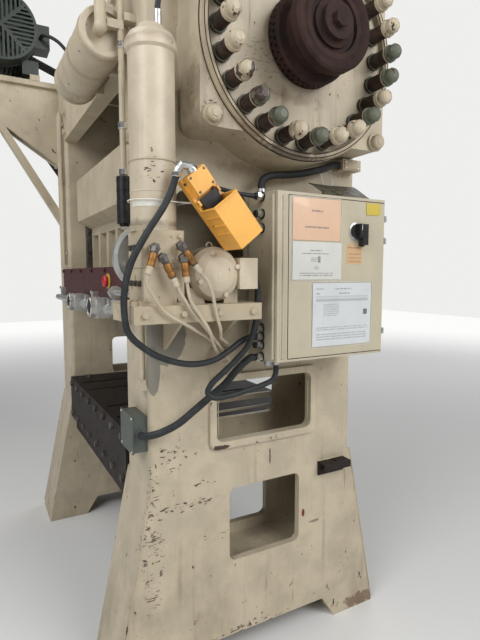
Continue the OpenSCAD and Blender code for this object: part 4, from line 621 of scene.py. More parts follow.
class Solid:
    """A mesh made of closed solids, each added by a method that gives the same Solid back."""

    ring_section: int = 10
    eased_share: float = 0.12

    def __init__(self) -> None:
        """Starts an empty mesh."""
        self.bm = bmesh.new()

    def _loft(self, rings: Sequence[Sequence[Vector]], closed: bool = False) -> "Solid":
        """Joins rings of equal count into a closed solid; a ring of one point is a pole.

        Args:
            rings: the rings, in order.
            closed: whether the last ring joins the first, as in a torus.

        Returns:
            This solid.
        """
        made = [[self.bm.verts.new(p) for p in ring] for ring in rings]
        for low, high in zip(made, [*made[1:], made[0]] if closed else made[1:]):
            count = max(len(low), len(high))
            for i in range(count):
                j = (i + 1) % count
                corners = [low[i % len(low)], low[j % len(low)], high[j % len(high)], high[i % len(high)]]
                self.bm.faces.new(list(dict.fromkeys(corners)))
        for ring in () if closed else (made[0], made[-1]):
            if len(ring) > 2:
                self.bm.faces.new(ring)
        return self

    def block(self, low: Point, high: Point, bevel: float = 0.0) -> "Solid":
        """Adds a box.

        Args:
            low: its lowest corner.
            high: its highest corner.
            bevel: how far its edges are rounded.

        Returns:
            This solid.
        """
        verts = bmesh.ops.create_cube(self.bm, size=1.0)["verts"]
        size = Vector(high) - Vector(low)
        middle = (Vector(high) + Vector(low)) / 2
        for v in verts:
            v.co = Vector((v.co.x * size.x, v.co.y * size.y, v.co.z * size.z)) + middle
        if bevel:
            edges = list({e for v in verts for e in v.link_edges})
            bmesh.ops.bevel(self.bm, geom=edges, offset=bevel, segments=2, profile=0.6, affect="EDGES")
        return self

    def prism(self, outline: Sequence[Point], depth: Point) -> "Solid":
        """Adds a flat outline, its corners in order, pushed along a vector."""
        return self._loft([[Vector(p) for p in outline], [Vector(p) + Vector(depth) for p in outline]])

    def turned(self, profile: Profile, origin: Point, axis: Point, sides: int) -> "Solid":
        """Adds a turned shape.

        Args:
            profile: distance along the axis and radius, point by point.
            origin: where the axis starts.
            axis: its direction.
            sides: facets round it.

        Returns:
            This solid.
        """
        u, v, w = framed(axis)
        angles = [math.tau * i / sides for i in range(sides)]
        rings = []
        for along, radius in profile:
            middle = Vector(origin) + w * along
            ring = [middle + (u * math.cos(a) + v * math.sin(a)) * radius for a in angles]
            rings.append(ring if radius > 1e-5 else [middle])
        return self._loft(rings)

    def rod(self, start: Point, end: Point, radius: float, sides: int = 24) -> "Solid":
        """Adds a straight round bar with its ends eased.

        Args:
            start: middle of one end.
            end: middle of the other.
            radius: the bar's radius.
            sides: facets round it.

        Returns:
            This solid.
        """
        along = Vector(end) - Vector(start)
        run = along.length
        ease = min(radius * self.eased_share, run / 3)
        return self.turned(drum(run, radius, ease, ease), start, along, sides)

    def ring(self, centre: Point, axis: Point, outer: float, wire: float, sides: int = 48) -> "Solid":
        """Adds a round ring of round section.

        Args:
            centre: the ring's middle.
            axis: the direction it faces.
            outer: radius of its middle line.
            wire: radius of its section.
            sides: facets along it.

        Returns:
            This solid.
        """
        u, v, w = framed(axis)
        around = [math.tau * k / self.ring_section for k in range(self.ring_section)]
        made = []
        for i in range(sides):
            out = u * math.cos(math.tau * i / sides) + v * math.sin(math.tau * i / sides)
            made.append([Vector(centre) + out * (outer + wire * math.cos(a)) + w * wire * math.sin(a)
                         for a in around])
        return self._loft(made, closed=True)

    def swept(self, path: Sequence[Vector], radius: float | Callable[[float, float], float],
              sides: int = 16) -> "Solid":
        """Adds a tube along a path.

        Args:
            path: its points.
            radius: its radius, or a function of the share of the path and the angle round it.
            sides: facets round it.

        Returns:
            This solid.
        """
        count = len(path)
        side = None
        rings = []
        for i, point in enumerate(path):
            along = (path[min(i + 1, count - 1)] - path[max(i - 1, 0)]).normalized()
            side = along.orthogonal() if side is None else side - along * side.dot(along)
            side.normalize()
            other = along.cross(side)
            ring = []
            for k in range(sides):
                a = math.tau * k / sides
                r = radius(i / (count - 1), a) if callable(radius) else radius
                ring.append(point + (side * math.cos(a) + other * math.sin(a)) * r)
            rings.append(ring)
        return self._loft(rings)

    def leaf(self, corners: Sequence[Point], bow: float = 0.0, thickness: float = 0.0006,
             steps: int = 8) -> "Solid":
        """Adds a thin sheet between four corners, its middle bowed outwards and a little rippled.

        Args:
            corners: the corners, counter-clockwise as seen from outside.
            bow: how far its middle stands out.
            thickness: the sheet's thickness.
            steps: faces along each side.

        Returns:
            This solid.
        """
        a, b, c, d = (Vector(p) for p in corners)
        out = (b - a).cross(d - a).normalized()
        front, back = {}, {}
        for grid, depth in ((front, 0.0), (back, -thickness)):
            for i in range(steps + 1):
                for j in range(steps + 1):
                    u, v = i / steps, j / steps
                    ripple = 0.35 * math.sin(5.0 * u + 3.0 * v)
                    swell = bow * (math.sin(math.pi * u) * math.sin(math.pi * v) + ripple)
                    flat = a.lerp(b, u).lerp(d.lerp(c, u), v)
                    grid[i, j] = self.bm.verts.new(flat + out * (swell + abs(bow) * 0.4 + depth))
        for i in range(steps):
            for j in range(steps):
                cell = ((i, j), (i + 1, j), (i + 1, j + 1), (i, j + 1))
                self.bm.faces.new([front[k] for k in cell])
                self.bm.faces.new([back[k] for k in reversed(cell)])
        edge = ([(i, 0) for i in range(steps)] + [(steps, j) for j in range(steps)]
                + [(i, steps) for i in range(steps, 0, -1)] + [(0, j) for j in range(steps, 0, -1)])
        for start, end in zip(edge, [*edge[1:], edge[0]]):
            self.bm.faces.new([front[end], front[start], back[start], back[end]])
        return self

    def mesh(self, name: str, sharp: float = USUAL_SHARP) -> bpy.types.Mesh:
        """Closes the work into a mesh with its faces outwards.

        Args:
            name: the mesh's name.
            sharp: angle in degrees past which an edge stays sharp.

        Returns:
            The mesh.
        """
        bmesh.ops.recalc_face_normals(self.bm, faces=self.bm.faces)
        made = bpy.data.meshes.new(name)
        self.bm.to_mesh(made)
        self.bm.free()
        made.shade_smooth()
        made.set_sharp_from_angle(angle=math.radians(sharp))
        return made

    def piece(self, name: str, finish: Finish, body: str = "frame", slot: str = "",
              sharp: float = USUAL_SHARP) -> bpy.types.Object:
        """Makes the finished piece, as carried() does, with edges past so many degrees kept sharp."""
        return carried(name, self.mesh(name, sharp), finish, body)


def carried(name: str, mesh: bpy.types.Mesh, finish: Finish, body: str = "frame") -> bpy.types.Object:
    """Links a mesh as a piece that rides on a body.

    Args:
        name: the piece's name.
        mesh: its mesh.
        finish: its finish.
        body: the body that carries it.

    Returns:
        The piece.
    """
    made = bpy.data.objects.new(name, mesh)
    bpy.context.scene.collection.objects.link(made)
    mesh.materials.clear()
    mesh.materials.append(finish.get())
    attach(made, body)
    log.info("%s: %d faces on %s", name, len(mesh.polygons), body)
    return made


# What repeats


class Pattern(Enum):
    """Ways that a unit is repeated."""

    RING = "set on a ring"
    GRID = "set on rows"


class Repeat:
    """A Geometry Nodes tree that repeats a unit mesh, with named inputs."""

    def __init__(self, pattern: Pattern) -> None:
        """Builds the tree for one pattern."""
        self.group = bpy.data.node_groups.new(pattern.value, "GeometryNodeTree")
        self.node = partial(add_node, self.group)
        self.inputs: dict[str, str] = {}
        self.group.interface.new_socket(name="Geometry", in_out="OUTPUT", socket_type="NodeSocketGeometry")
        self.start = self.group.nodes.new("NodeGroupInput")
        end = self.group.nodes.new("NodeGroupOutput")
        unit = self.given("Unit", "Geometry")
        points, turn = self.around() if pattern is Pattern.RING else self.on_rows()
        laid = self.node("GeometryNodeInstanceOnPoints",
                         {"Points": points, "Instance": unit, "Rotation": turn})
        centre, turned = self.given("Centre", "Vector"), self.given("Facing", "Rotation")
        moved = self.node("GeometryNodeTransform", {0: laid, "Translation": centre, "Rotation": turned})
        real = self.node("GeometryNodeRealizeInstances", {0: moved})
        finish = self.given("Finish", "Material")
        done = self.node("GeometryNodeSetMaterial", {0: real, "Material": finish})
        self.group.links.new(done, end.inputs[0])

    def given(self, name: str, kind: str) -> bpy.types.NodeSocket:
        """Adds a named input to the tree.

        Args:
            name: the input's name.
            kind: its socket type.

        Returns:
            The socket inside the tree.
        """
        item = self.group.interface.new_socket(name=name, in_out="INPUT", socket_type="NodeSocket" + kind)
        self.inputs[name] = item.identifier
        return self.start.outputs[name]

    def line(self, count: str, step: str) -> bpy.types.NodeSocket:
        """Points on a straight line, their number and step under the names given."""
        return self.node("GeometryNodeMeshLine", {"Count": self.given(count, "Int"),
                                                  "Offset": self.given(step, "Vector")})

    def around(self) -> tuple[bpy.types.NodeSocket, bpy.types.NodeSocket]:
        """Points round a circle, each unit's X turned outwards.

        Returns:
            The points and the turn.
        """
        circle = self.node("GeometryNodeMeshCircle", {"Vertices": self.given("Count", "Int"),
                                                      "Radius": self.given("Radius", "Float")})
        where = self.node("GeometryNodeInputPosition", {})
        return circle, self.node("FunctionNodeAlignRotationToVector", {"Vector": where}, axis="X")

    def on_rows(self) -> tuple[bpy.types.NodeSocket, bpy.types.NodeSocket]:
        """Points on rows, with every unit turned alike.

        Returns:
            The points and the turn.
        """
        row, rows = self.line("Columns", "Column step"), self.line("Rows", "Row step")
        laid = self.node("GeometryNodeInstanceOnPoints", {"Points": rows, "Instance": row})
        return self.node("GeometryNodeRealizeInstances", {0: laid}), self.given("Turn", "Rotation")

    def lay(self, name: str, unit: bpy.types.Mesh, finish: Finish, body: str = "frame",
            **values: float | Sequence[float]) -> bpy.types.Object:
        """Repeats a unit and makes the result a plain piece.

        Args:
            name: the piece's name.
            unit: the mesh that is repeated.
            finish: its finish.
            body: the body that carries it.
            values: the tree's inputs, named with underscores for spaces.

        Returns:
            The piece.
        """
        holder = bpy.data.objects.new(name + "_unit", unit)
        bpy.context.scene.collection.objects.link(holder)
        modifier = holder.modifiers.new("repeat", "NODES")
        modifier.node_group = self.group
        modifier[self.inputs["Finish"]] = finish.get()
        for key, value in values.items():
            modifier[self.inputs[key.replace("_", " ")]] = value
        graph = bpy.context.evaluated_depsgraph_get()
        mesh = bpy.data.meshes.new_from_object(holder.evaluated_get(graph))
        mesh.name = name
        bpy.data.objects.remove(holder)
        return carried(name, mesh, finish, body)


RINGS, ROWS = Repeat(Pattern.RING), Repeat(Pattern.GRID)
Z_UP: Point = (0.0, 0.0, 1.0)
HERE: Point = (0.0, 0.0, 0.0)


def hexagon_head(across: float, height: float) -> bpy.types.Mesh:
    """A hexagon bolt head on a washer, seated at the origin, facing up.

    Args:
        across: distance over its flats.
        height: height of the head.

    Returns:
        The mesh.
    """
    corner = across / math.sqrt(3)
    washer = [(0.0, across * 0.62), (height * 0.2, across * 0.62), (height * 0.24, across * 0.58)]
    hexagon = [(height * 0.2, corner), (height * 0.92, corner), (height, corner * 0.86)]
    return Solid().turned(washer, HERE, Z_UP, 20).turned(hexagon, HERE, Z_UP, 6).mesh("hexagon_head", 25.0)


def round_head(radius: float, height: float, steps: int = 4) -> bpy.types.Mesh:
    """A domed rivet or screw head, seated at the origin, facing up.

    Args:
        radius: radius of the head.
        height: height of its crown.
        steps: facets from rim to crown.

    Returns:
        The mesh.
    """
    angles = [math.pi / 2 * i / steps for i in range(steps + 1)]
    profile = [(height * math.sin(a), radius * math.cos(a)) for a in angles]
    return Solid().turned(profile, HERE, Z_UP, 14).mesh("round_head")


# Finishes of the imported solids


NODE_FINISH: dict[Finish, str] = {
    Finish.CREAM: "right_upright left_upright slide crown motor_bracket air_tank air_pipes",
    Finish.CREAM_CLEAN: "pump_motor",
    Finish.CREAM_HOUSING: "brake_housing",
    Finish.CREAM_RESERVOIR: "oil_reservoir",
    Finish.CREAM_STAINED: "brake_ring unit_shelf valve_blocks conduit_outlet",
    Finish.CAP_CREAM: "cream_cup_caps",
    Finish.GREEN_BOX: "junction_box",
    Finish.BEIGE: "enclosure_body enclosure_door",
    Finish.CAP_GREEN: "green_cup_caps",
    Finish.MOTOR_GREEN: "motor_body motor_fan_cover",
    Finish.YELLOW: "foot_switch_base foot_switch_hood",
    Finish.GUARD_RED: "guard_plate",
    Finish.PRIMER: "enclosure_panel",
    Finish.OILY_PLATE: "bed_apron bolster side_step bed",
    Finish.OILY_STEEL: "slide_gibs crankshaft left_pitman right_pitman clutch_unit motor_rotor frame_bolts",
    Finish.DRUM_RUST: "brake_drum brake_disc flywheel",
    Finish.CUP_RUST_AND_SHADOW: "spring_cups",
    Finish.ZINC: "top_clamp middle_clamp lower_clamp cable_glands",
    Finish.CAST: "pump_wheel control_bar",
    Finish.BRASS: "crank_bushes",
    Finish.ELBOW: "hose_swivels",
    Finish.BLACK: "disconnect_handle left_palm_button right_palm_button air_muffler foot_pedal",
    Finish.RED: "stop_button",
    Finish.BELT: "drive_belts",
}


def dress_nodes() -> None:
    """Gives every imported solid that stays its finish."""
    for finish, names in NODE_FINISH.items():
        for name in names.split():
            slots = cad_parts[name].data.materials
            slots.clear()
            slots.append(finish.get())


# Cables, hoses and string


@dataclass(frozen=True)
class Route:
    """A cord's route, its listed points, and its facts."""

    name: str
    points: tuple[Point, ...]
    diameter: float
    replaces: str = "machine_cables"
    finish: Finish = Finish.SHEATH
    stiffness: str = "medium"
    lay: str = "loose"


def painted_hose(name: str, points: tuple[Point, ...]) -> Route:
    """The route of one of the painted hydraulic hoses."""
    return Route(name, points, 0.011, "hydraulic_hoses", Finish.HOSE)


FOOT_CABLE = Route("foot_switch_cord", (
    (1.169, -0.456, 1.878), (1.163, -0.464, 1.846), (1.163, -0.492, 1.788), (1.162, -0.545, 1.708),
    (1.150, -0.592, 1.620), (1.140, -0.612, 1.540), (1.136, -0.614, 1.460), (1.130, -0.600, 1.400),
    (1.120, -0.530, 1.336), (1.108, -0.450, 1.298), (1.094, -0.370, 1.280), (1.080, -0.290, 1.284),
    (1.062, -0.220, 1.310), (1.052, -0.160, 1.342), (1.050, -0.126, 1.351), (1.050, -0.110, 1.351),
), 0.021, "foot_switch_cable")
JUNCTION_CABLE = Route("junction_cord", (
    (0.905, -0.500, 1.000), (0.918, -0.500, 1.000), (0.944, -0.490, 1.006), (0.975, -0.455, 1.020),
    (0.990, -0.390, 1.048), (0.994, -0.330, 1.088), (1.000, -0.270, 1.132), (1.012, -0.210, 1.180),
    (1.030, -0.170, 1.232), (1.046, -0.138, 1.266), (1.050, -0.124, 1.275), (1.050, -0.110, 1.275),
), 0.027)
PUMP_CABLE = Route("pump_cord", (
    (1.100, -0.158, 1.560), (1.100, -0.144, 1.560), (1.100, -0.128, 1.540), (1.100, -0.126, 1.490),
    (1.100, -0.130, 1.430), (1.098, -0.140, 1.380), (1.090, -0.156, 1.330), (1.076, -0.196, 1.280),
    (1.066, -0.248, 1.232), (1.056, -0.288, 1.194), (1.052, -0.300, 1.164), (1.058, -0.280, 1.146),
    (1.066, -0.220, 1.148), (1.070, -0.150, 1.160), (1.066, -0.080, 1.172), (1.056, -0.030, 1.186),
    (1.050, -0.014, 1.210), (1.050, -0.014, 1.240),
), 0.021)
SENSOR_CABLE = Route("sensor_cord", (
    (1.050, -0.110, 1.860), (1.050, -0.124, 1.860), (1.046, -0.150, 1.862), (1.032, -0.196, 1.870),
    (1.000, -0.240, 1.886), (0.941, -0.262, 1.906),
), 0.016)
MOTOR_CABLE = Route("motor_cord", (
    (-0.792, -0.562, 3.030), (-0.780, -0.562, 3.030), (-0.760, -0.556, 3.036), (-0.732, -0.530, 3.030),
    (-0.708, -0.476, 3.000), (-0.702, -0.420, 2.944), (-0.700, -0.392, 2.894), (-0.700, -0.390, 2.864),
), 0.021)
FLOAT_CABLE = Route("float_cord", (
    (1.056, -0.466, 2.400), (1.056, -0.466, 2.414), (1.056, -0.462, 2.440), (1.053, -0.452, 2.480),
    (1.040, -0.436, 2.530), (1.010, -0.418, 2.580), (0.975, -0.404, 2.612), (0.950, -0.400, 2.624),
    (0.937, -0.400, 2.626),
), 0.018)
CROWN_CABLE = Route("crown_cord", (
    (1.000, -0.050, 1.896), (1.000, -0.050, 1.916), (1.002, -0.038, 1.936), (1.004, 0.000, 1.950),
    (1.002, 0.060, 1.958), (0.998, 0.130, 1.970), (0.990, 0.200, 1.988), (0.978, 0.266, 2.008),
    (0.964, 0.310, 2.026), (0.960, 0.334, 2.030), (0.960, 0.350, 2.030),
), 0.028, "crown_cable")
HOSES = (
    painted_hose("upper_front_hose", (
        (1.191, -0.556, 1.582), (1.187, -0.560, 1.555), (1.184, -0.540, 1.519), (1.183, -0.503, 1.467),
        (1.179, -0.419, 1.416), (1.110, -0.325, 1.368), (1.040, -0.262, 1.328), (1.000, -0.224, 1.296),
        (0.980, -0.212, 1.286), (0.970, -0.212, 1.286),
    )),
    painted_hose("lower_front_hose", (
        (1.191, -0.465, 1.543), (1.187, -0.445, 1.511), (1.184, -0.414, 1.467), (1.178, -0.367, 1.413),
        (1.100, -0.294, 1.358), (1.040, -0.238, 1.312), (1.000, -0.196, 1.272), (0.980, -0.180, 1.258),
        (0.970, -0.180, 1.258),
    )),
    painted_hose("middle_rear_hose", (
        (1.191, -0.433, 1.557), (1.190, -0.428, 1.526), (1.194, -0.420, 1.495), (1.197, -0.396, 1.459),
        (1.196, -0.362, 1.406), (1.112, -0.306, 1.346), (1.050, -0.262, 1.304), (1.000, -0.226, 1.270),
        (0.980, -0.212, 1.258), (0.970, -0.212, 1.258),
    )),
    painted_hose("upper_rear_hose", (
        (1.191, -0.389, 1.588), (1.188, -0.364, 1.563), (1.184, -0.345, 1.525), (1.182, -0.334, 1.483),
        (1.180, -0.322, 1.434), (1.176, -0.312, 1.408), (1.140, -0.292, 1.380), (1.100, -0.272, 1.364),
        (1.040, -0.214, 1.330), (1.000, -0.188, 1.300), (0.980, -0.180, 1.286), (0.970, -0.180, 1.286),
    )),
)
TIE_STRING = Route("tie_cord", (
    (1.139, -0.368, 1.806), (1.122, -0.444, 1.807), (1.136, -0.483, 1.808), (1.129, -0.524, 1.809),
    (1.102, -0.556, 1.810), (1.063, -0.570, 1.811), (1.022, -0.563, 1.811), (0.990, -0.536, 1.811),
    (0.976, -0.497, 1.811), (0.983, -0.456, 1.810), (1.010, -0.424, 1.809), (1.049, -0.410, 1.808),
    (1.094, -0.396, 1.808), (1.139, -0.356, 1.806),
), 0.004, "tie_string", Finish.STRING, "limp", "taut")


@dataclass
class Cords:
    """Every free cable, the hydraulic hoses and the tied string."""

    routes: tuple[Route, ...] = (FOOT_CABLE, JUNCTION_CABLE, PUMP_CABLE, SENSOR_CABLE, MOTOR_CABLE,
                                 FLOAT_CABLE, CROWN_CABLE, *HOSES)
    string: Route = TIE_STRING
    strands: int = 3
    turns_per_metre: float = 75.0
    strand_depth: float = 0.14

    def build(self) -> None:
        """Makes all cords."""
        for route in self.routes:
            self.lay(route, route.diameter / 2, sides=16, steps=6)
        self.lay(self.string, self.twisted, sides=12, steps=24)

    def twisted(self, share: float, angle: float) -> float:
        """Radius of the twisted string.

        Args:
            share: share of its length.
            angle: angle round it.

        Returns:
            The radius.
        """
        turns = length_of(smoothed(self.string.points)) * self.turns_per_metre
        wave = math.cos(self.strands * angle + math.tau * turns * share)
        return self.string.diameter / 2 * (1.0 - self.strand_depth + self.strand_depth * wave)

    def lay(self, route: Route, radius: float | Callable[[float, float], float], sides: int,
            steps: int) -> None:
        """Args:
            route: the cord's route and facts.
            radius: its radius, or a function of the share of its length and the angle round it.
            sides: facets round it.
            steps: points made for each stretch.
        """
        path = smoothed(route.points, steps)
        made = Solid().swept(path, radius, sides).piece(route.name, route.finish, sharp=ALL_SMOOTH)
        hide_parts(route.replaces)


# Sub-assemblies


X_OUT: Point = (1.0, 0.0, 0.0)
Y_OUT: Point = (0.0, 1.0, 0.0)
FRONT_OUT: Point = (0.0, -1.0, 0.0)
FLYWHEEL_OUT: Point = (-1.0, 0.0, 0.0)
HEX: int = 6

# Turned profiles of nuts, screws, collars and sleeves

CORNER_SOCKET = head(0.0165, 0.0025, 0.015, 0.001)
DIAL_PLATE = head(0.034, 0.0014, 0.033, 0.0006)
CLAMP_NUT = head(0.0085, 0.004, 0.007, 0.0012)
RAIL_WASHER = head(0.011, 0.0015, 0.009, 0.0005)
RAIL_NUT = head(0.0085, 0.008, 0.007, 0.001)
BRACKET_BOLT = head(0.009, 0.006, 0.0075, 0.0015)
STOP_COLLAR = head(0.034, 0.003, 0.031, 0.002)
GLAND_NUT = drum(0.013, 0.0165, 0.001, 0.0007, 0.0125)
ELBOW_NUT = drum(0.016, 0.0162, 0.002, 0.0012)
STEM_NUT = drum(0.014, 0.0158, 0.002, 0.0012)
BAR_CLAMP = drum(0.028, 0.0250, 0.002, 0.0015)
PIPE_UNION = drum(0.022, 0.0165, 0.002, 0.0015)
MUFFLER_NUT = ((0.0, 0.0155), (0.010, 0.0165), (0.012, 0.0140))
GLAND_LOCK = ((0.001, 0.0185), (0.004, 0.0185), (0.005, 0.0165))
GLAND_COLLAR = ((0.0255, 0.0125), (0.032, 0.0120), (0.0345, 0.0112))
TAIL_NUT = ((-0.002, 0.0128), (0.014, 0.0132), (0.016, 0.0120))
HOSE_SLEEVE = ((0.0, 0.0116), (0.003, 0.0124), (0.024, 0.0124), (0.026, 0.0112), (0.030, 0.0112),
               (0.032, 0.0122), (0.040, 0.0122), (0.043, 0.0108))
HOSE_FERRULE = ((0.0, 0.0104), (0.002, 0.0112), (0.010, 0.0112), (0.012, 0.0100), (0.020, 0.0112),
                (0.028, 0.0098))
EYE_FOOT = ((-0.004, 0.009), (0.0, 0.009), (0.003, 0.007))
PUMP_SCREW = ((0.0, 0.0042), (0.0016, 0.0040), (0.0026, 0.0022))
BASE_SCREW = ((0.0, 0.0048), (0.0018, 0.0046), (0.0030, 0.0026))
COVER_SCREW = ((0.0, 0.0042), (0.0016, 0.0040), (0.0028, 0.0022))
PALM_SCREW = ((0.0, 0.005), (0.002, 0.0048), (0.0034, 0.0026))


def facing(axis: Point, spin: float = 0.0) -> Point:
    """Euler angles that turn Z onto an axis, after a spin of so many degrees about it."""
    turn = Vector(axis).to_track_quat("Z", "Y") @ Quaternion(Z_UP, math.radians(spin))
    return tuple(turn.to_euler())


TO_SIDE, TO_FRONT = facing(X_OUT), facing(FRONT_OUT)


@dataclass
class Brake:
    """Cap collars, cap seams, dried paint, joints and bolts of the spring-set brake."""

    axis: Pair = (0.050, 2.387)
    cup_circle: float = 0.334
    cup_count: int = 24
    first_cup: float = 1.0
    cup_rings: tuple[tuple[str, Finish, float, float, float, int], ...] = (
        ("cap_collars", Finish.CREAM_STAINED, 1.192, 0.0292, 0.0022, 24),
        ("cap_seams", Finish.CUP_RUST_AND_SHADOW, 1.2315, 0.0168, 0.0011, 20),
        ("cup_roots", Finish.CAP_GREEN, 1.1165, 0.0285, 0.0035, 20),
    )
    joints: tuple[Pair, ...] = ((1.131, 0.3775), (1.131, 0.3905), (1.1075, 0.3990))
    bolt_at: Pair = (0.354, 0.291)
    bolt_face: float = 1.1385
    bolt_root: float = 1.1135

    def build(self) -> None:
        """Makes the brake's trim."""
        self.cups()
        self.grooves()
        self.bolts()

    def cups(self) -> None:
        """Adds a collar at each cap's root, a seam in its crown and dried paint at its barrel's foot."""
        turn = facing(X_OUT, self.first_cup)
        for name, finish, x, radius, wire, sides in self.cup_rings:
            unit = Solid().ring(HERE, Z_UP, radius, wire, sides).mesh(name + "_unit")
            RINGS.lay(name, unit, finish, Count=self.cup_count, Radius=self.cup_circle, Facing=turn,
                      Centre=(x, *self.axis))

    def grooves(self) -> None:
        """Adds the dark joints on the raised ring and round the housing."""
        made = Solid()
        for x, radius in self.joints:
            made.ring((x, *self.axis), X_OUT, radius, 0.0016, 120)
        made.piece("ring_joints", Finish.OILY_PLATE, sharp=ALL_SMOOTH)

    def bolts(self) -> None:
        """Adds the sockets and the washer rims of the four corner bolts."""
        made = Solid()
        for sy, sz in product((-1, 1), repeat=2):
            at = (self.axis[0] + sy * self.bolt_at[0], self.axis[1] + sz * self.bolt_at[1])
            made.turned(CORNER_SOCKET, (self.bolt_face, *at), X_OUT, HEX)
            made.ring((self.bolt_root, *at), X_OUT, 0.0345, 0.0012, 32)
        made.piece("corner_bolt_heads", Finish.CREAM_STAINED)


@dataclass
class Enclosure:
    """Hinge, papers, tags, handle trim, glands and lid plate of the control enclosure."""

    door_x: float = 1.1503
    low_y: float = -0.076
    high_y: float = 0.425
    high_z: float = 1.871
    hinge_at: Point = (1.1530, -0.0525, 1.2795)
    knuckles: int = 22
    knuckle_pitch: float = 0.0262
    knuckle_length: float = 0.0248
    leaf_depth: float = 0.0018
    shadow_line_y: Pair = (-0.030, 0.421)
    shadow_line_z: Pair = (1.2765, 1.8575)
    shadow_line_half: float = 0.0013
    handle_at: Pair = (0.280, 1.743)
    ridges: int = 5
    ridge_start: float = -0.020
    ridge_pitch: float = 0.009
    clamp_at: Pair = (1.1363, 0.4405)
    clamps: tuple[tuple[str, float], ...] = (("top_clamp", 1.796), ("middle_clamp", 1.711),
                                             ("lower_clamp", 1.355))
    gland_x: float = 1.050
    gland_z: tuple[float, ...] = (1.860, 1.798, 1.748, 1.381, 1.351, 1.320, 1.275)
    sheets: tuple[tuple[str, Finish, Pair, Pair, float, float], ...] = (
        ("peach_sheet", Finish.PEACH_SHEET, (-0.014, 0.203), (1.702, 1.852), 0.0012, 0.0015),
        ("upper_white_sheet", Finish.UPPER_SHEET, (-0.014, 0.209), (1.561, 1.697), 0.0012, 0.0020),
        ("large_white_sheet", Finish.LARGE_SHEET, (0.077, 0.361), (1.312, 1.548), 0.0014, 0.0025),
        ("yellow_tag", Finish.TAG, (0.329, 0.400), (1.808, 1.852), 0.0016, 0.0010),
        ("orange_label", Finish.ORANGE_LABEL, (0.236, 0.312), (1.620, 1.694), 0.0008, 0.0002),
    )
    sleeves: tuple[tuple[Pair, Pair], ...] = (((-0.018, 0.207), (1.556, 1.856)),
                                              ((0.072, 0.366), (1.306, 1.553)))

    def build(self) -> None:
        """Makes the enclosure's trim."""
        self.hinge()
        self.papers()
        self.handle()
        self.screws()
        self.glands()
        self.lid_plate()

    def hinge(self) -> None:
        """Adds the long hinge's knuckles, leaf, strap and screws, and a dark line of painted shadow inside
        the door's edge.
        """
        knuckle = Solid().rod(HERE, (0, 0, self.knuckle_length), 0.0046, 14).mesh("knuckle")
        ROWS.lay("hinge_knuckles", knuckle, Finish.BEIGE, "door", Columns=1, Rows=self.knuckles,
                 Row_step=(0, 0, self.knuckle_pitch), Centre=self.hinge_at)
        leaf_y = self.low_y - self.leaf_depth
        leaf = Solid().block((1.0995, leaf_y, 1.278), (1.1270, self.low_y, 1.858), 0.0006)
        leaf.piece("hinge_leaf", Finish.BEIGE)
        # The dark outline inside the door's edges is painted shadow along the door's raised border.
        (near, far), (low, high), half = self.shadow_line_y, self.shadow_line_z, self.shadow_line_half
        back, face = self.door_x - 0.001, self.door_x + 0.0008
        seam = Solid().block((back, near - half, low), (face, near + half, high))
        for z in self.shadow_line_z:
            seam.block((back, near, z - half), (face, far, z + half))
        seam.piece("door_shadow_line", Finish.CUP_RUST_AND_SHADOW, "door", "box_beige")
        strap = Solid().block((back, -0.0655, 1.281), (self.door_x + 0.0012, -0.0395, 1.855), 0.0005)
        strap.piece("hinge_strap", Finish.BEIGE, "door")
        ROWS.lay("leaf_screws", round_head(0.0036, 0.0016), Finish.ZINC, Columns=1, Rows=8,
                 Row_step=(0, 0, 0.079), Turn=TO_FRONT, Centre=(1.108, leaf_y, 1.291))

    def corners(self, y: Pair, z: Pair, lift: float) -> tuple[Point, ...]:
        """Corners of an upright sheet from its edges in Y and Z and how far it stands off the door."""
        x = self.door_x + lift
        return (x, y[0], z[0]), (x, y[1], z[0]), (x, y[1], z[1]), (x, y[0], z[1])

    def papers(self) -> None:
        """Adds the bowed sheets, the tag and the label on the door, and the edges of the sheets' sleeves."""
        for name, finish, y, z, lift, bow in self.sheets:
            Solid().leaf(self.corners(y, z, lift), bow).piece(name, finish, "door", "string_white", 60.0)
        edges = Solid()
        for y, z in self.sleeves:
            corners = self.corners(y, z, 0.0010)
            for start, end in zip(corners, (*corners[1:], corners[0])):
                edges.rod(start, end, 0.0011, 8)
        edges.piece("sleeve_edges", Finish.TAPE, "door")

    def handle(self) -> None:
        """Adds the dial plate, the grip's ridges, rim, hasp and pointer."""
        y, z = self.handle_at
        Solid().turned(DIAL_PLATE, (self.door_x, y, z), X_OUT, 40).piece("dial_plate", Finish.ZINC, "door")
        grip = Solid()
        for i in range(self.ridges):
            low = z + self.ridge_start + self.ridge_pitch * i
            grip.block((1.1838, y - 0.0075, low), (1.1858, y + 0.0075, low + 0.004), 0.0006)
        grip.ring((1.1655, y, z), X_OUT, 0.0265, 0.0014, 36)
        grip.block((1.1560, y + 0.011, z - 0.057), (1.1620, y + 0.035, z - 0.050), 0.001)
        grip.piece("handle_ridges", Finish.BLACK, "handle")
        pointer = Solid().block((1.1858, y - 0.0012, z + 0.002), (1.1864, y + 0.0012, z + 0.023), 0.0002)
        pointer.piece("handle_pointer", Finish.TAPE, "handle")

    def screws(self) -> None:
        """Adds the nuts of the clamps and the bolts of the rail above the enclosure."""
        for body, z in self.clamps:
            nut = Solid().turned(CLAMP_NUT, (*self.clamp_at, z), Y_OUT, HEX)
            nut.piece(body + "_nut", Finish.CHROME, body)
        made = Solid()
        for y in (self.low_y + 0.04, self.high_y - 0.04):
            at = (0.965, y, self.high_z + 0.0215)
            made.turned(RAIL_WASHER, at, Z_UP, 20).turned(RAIL_NUT, at, Z_UP, HEX)
        made.piece("top_rail_bolts", Finish.ZINC)

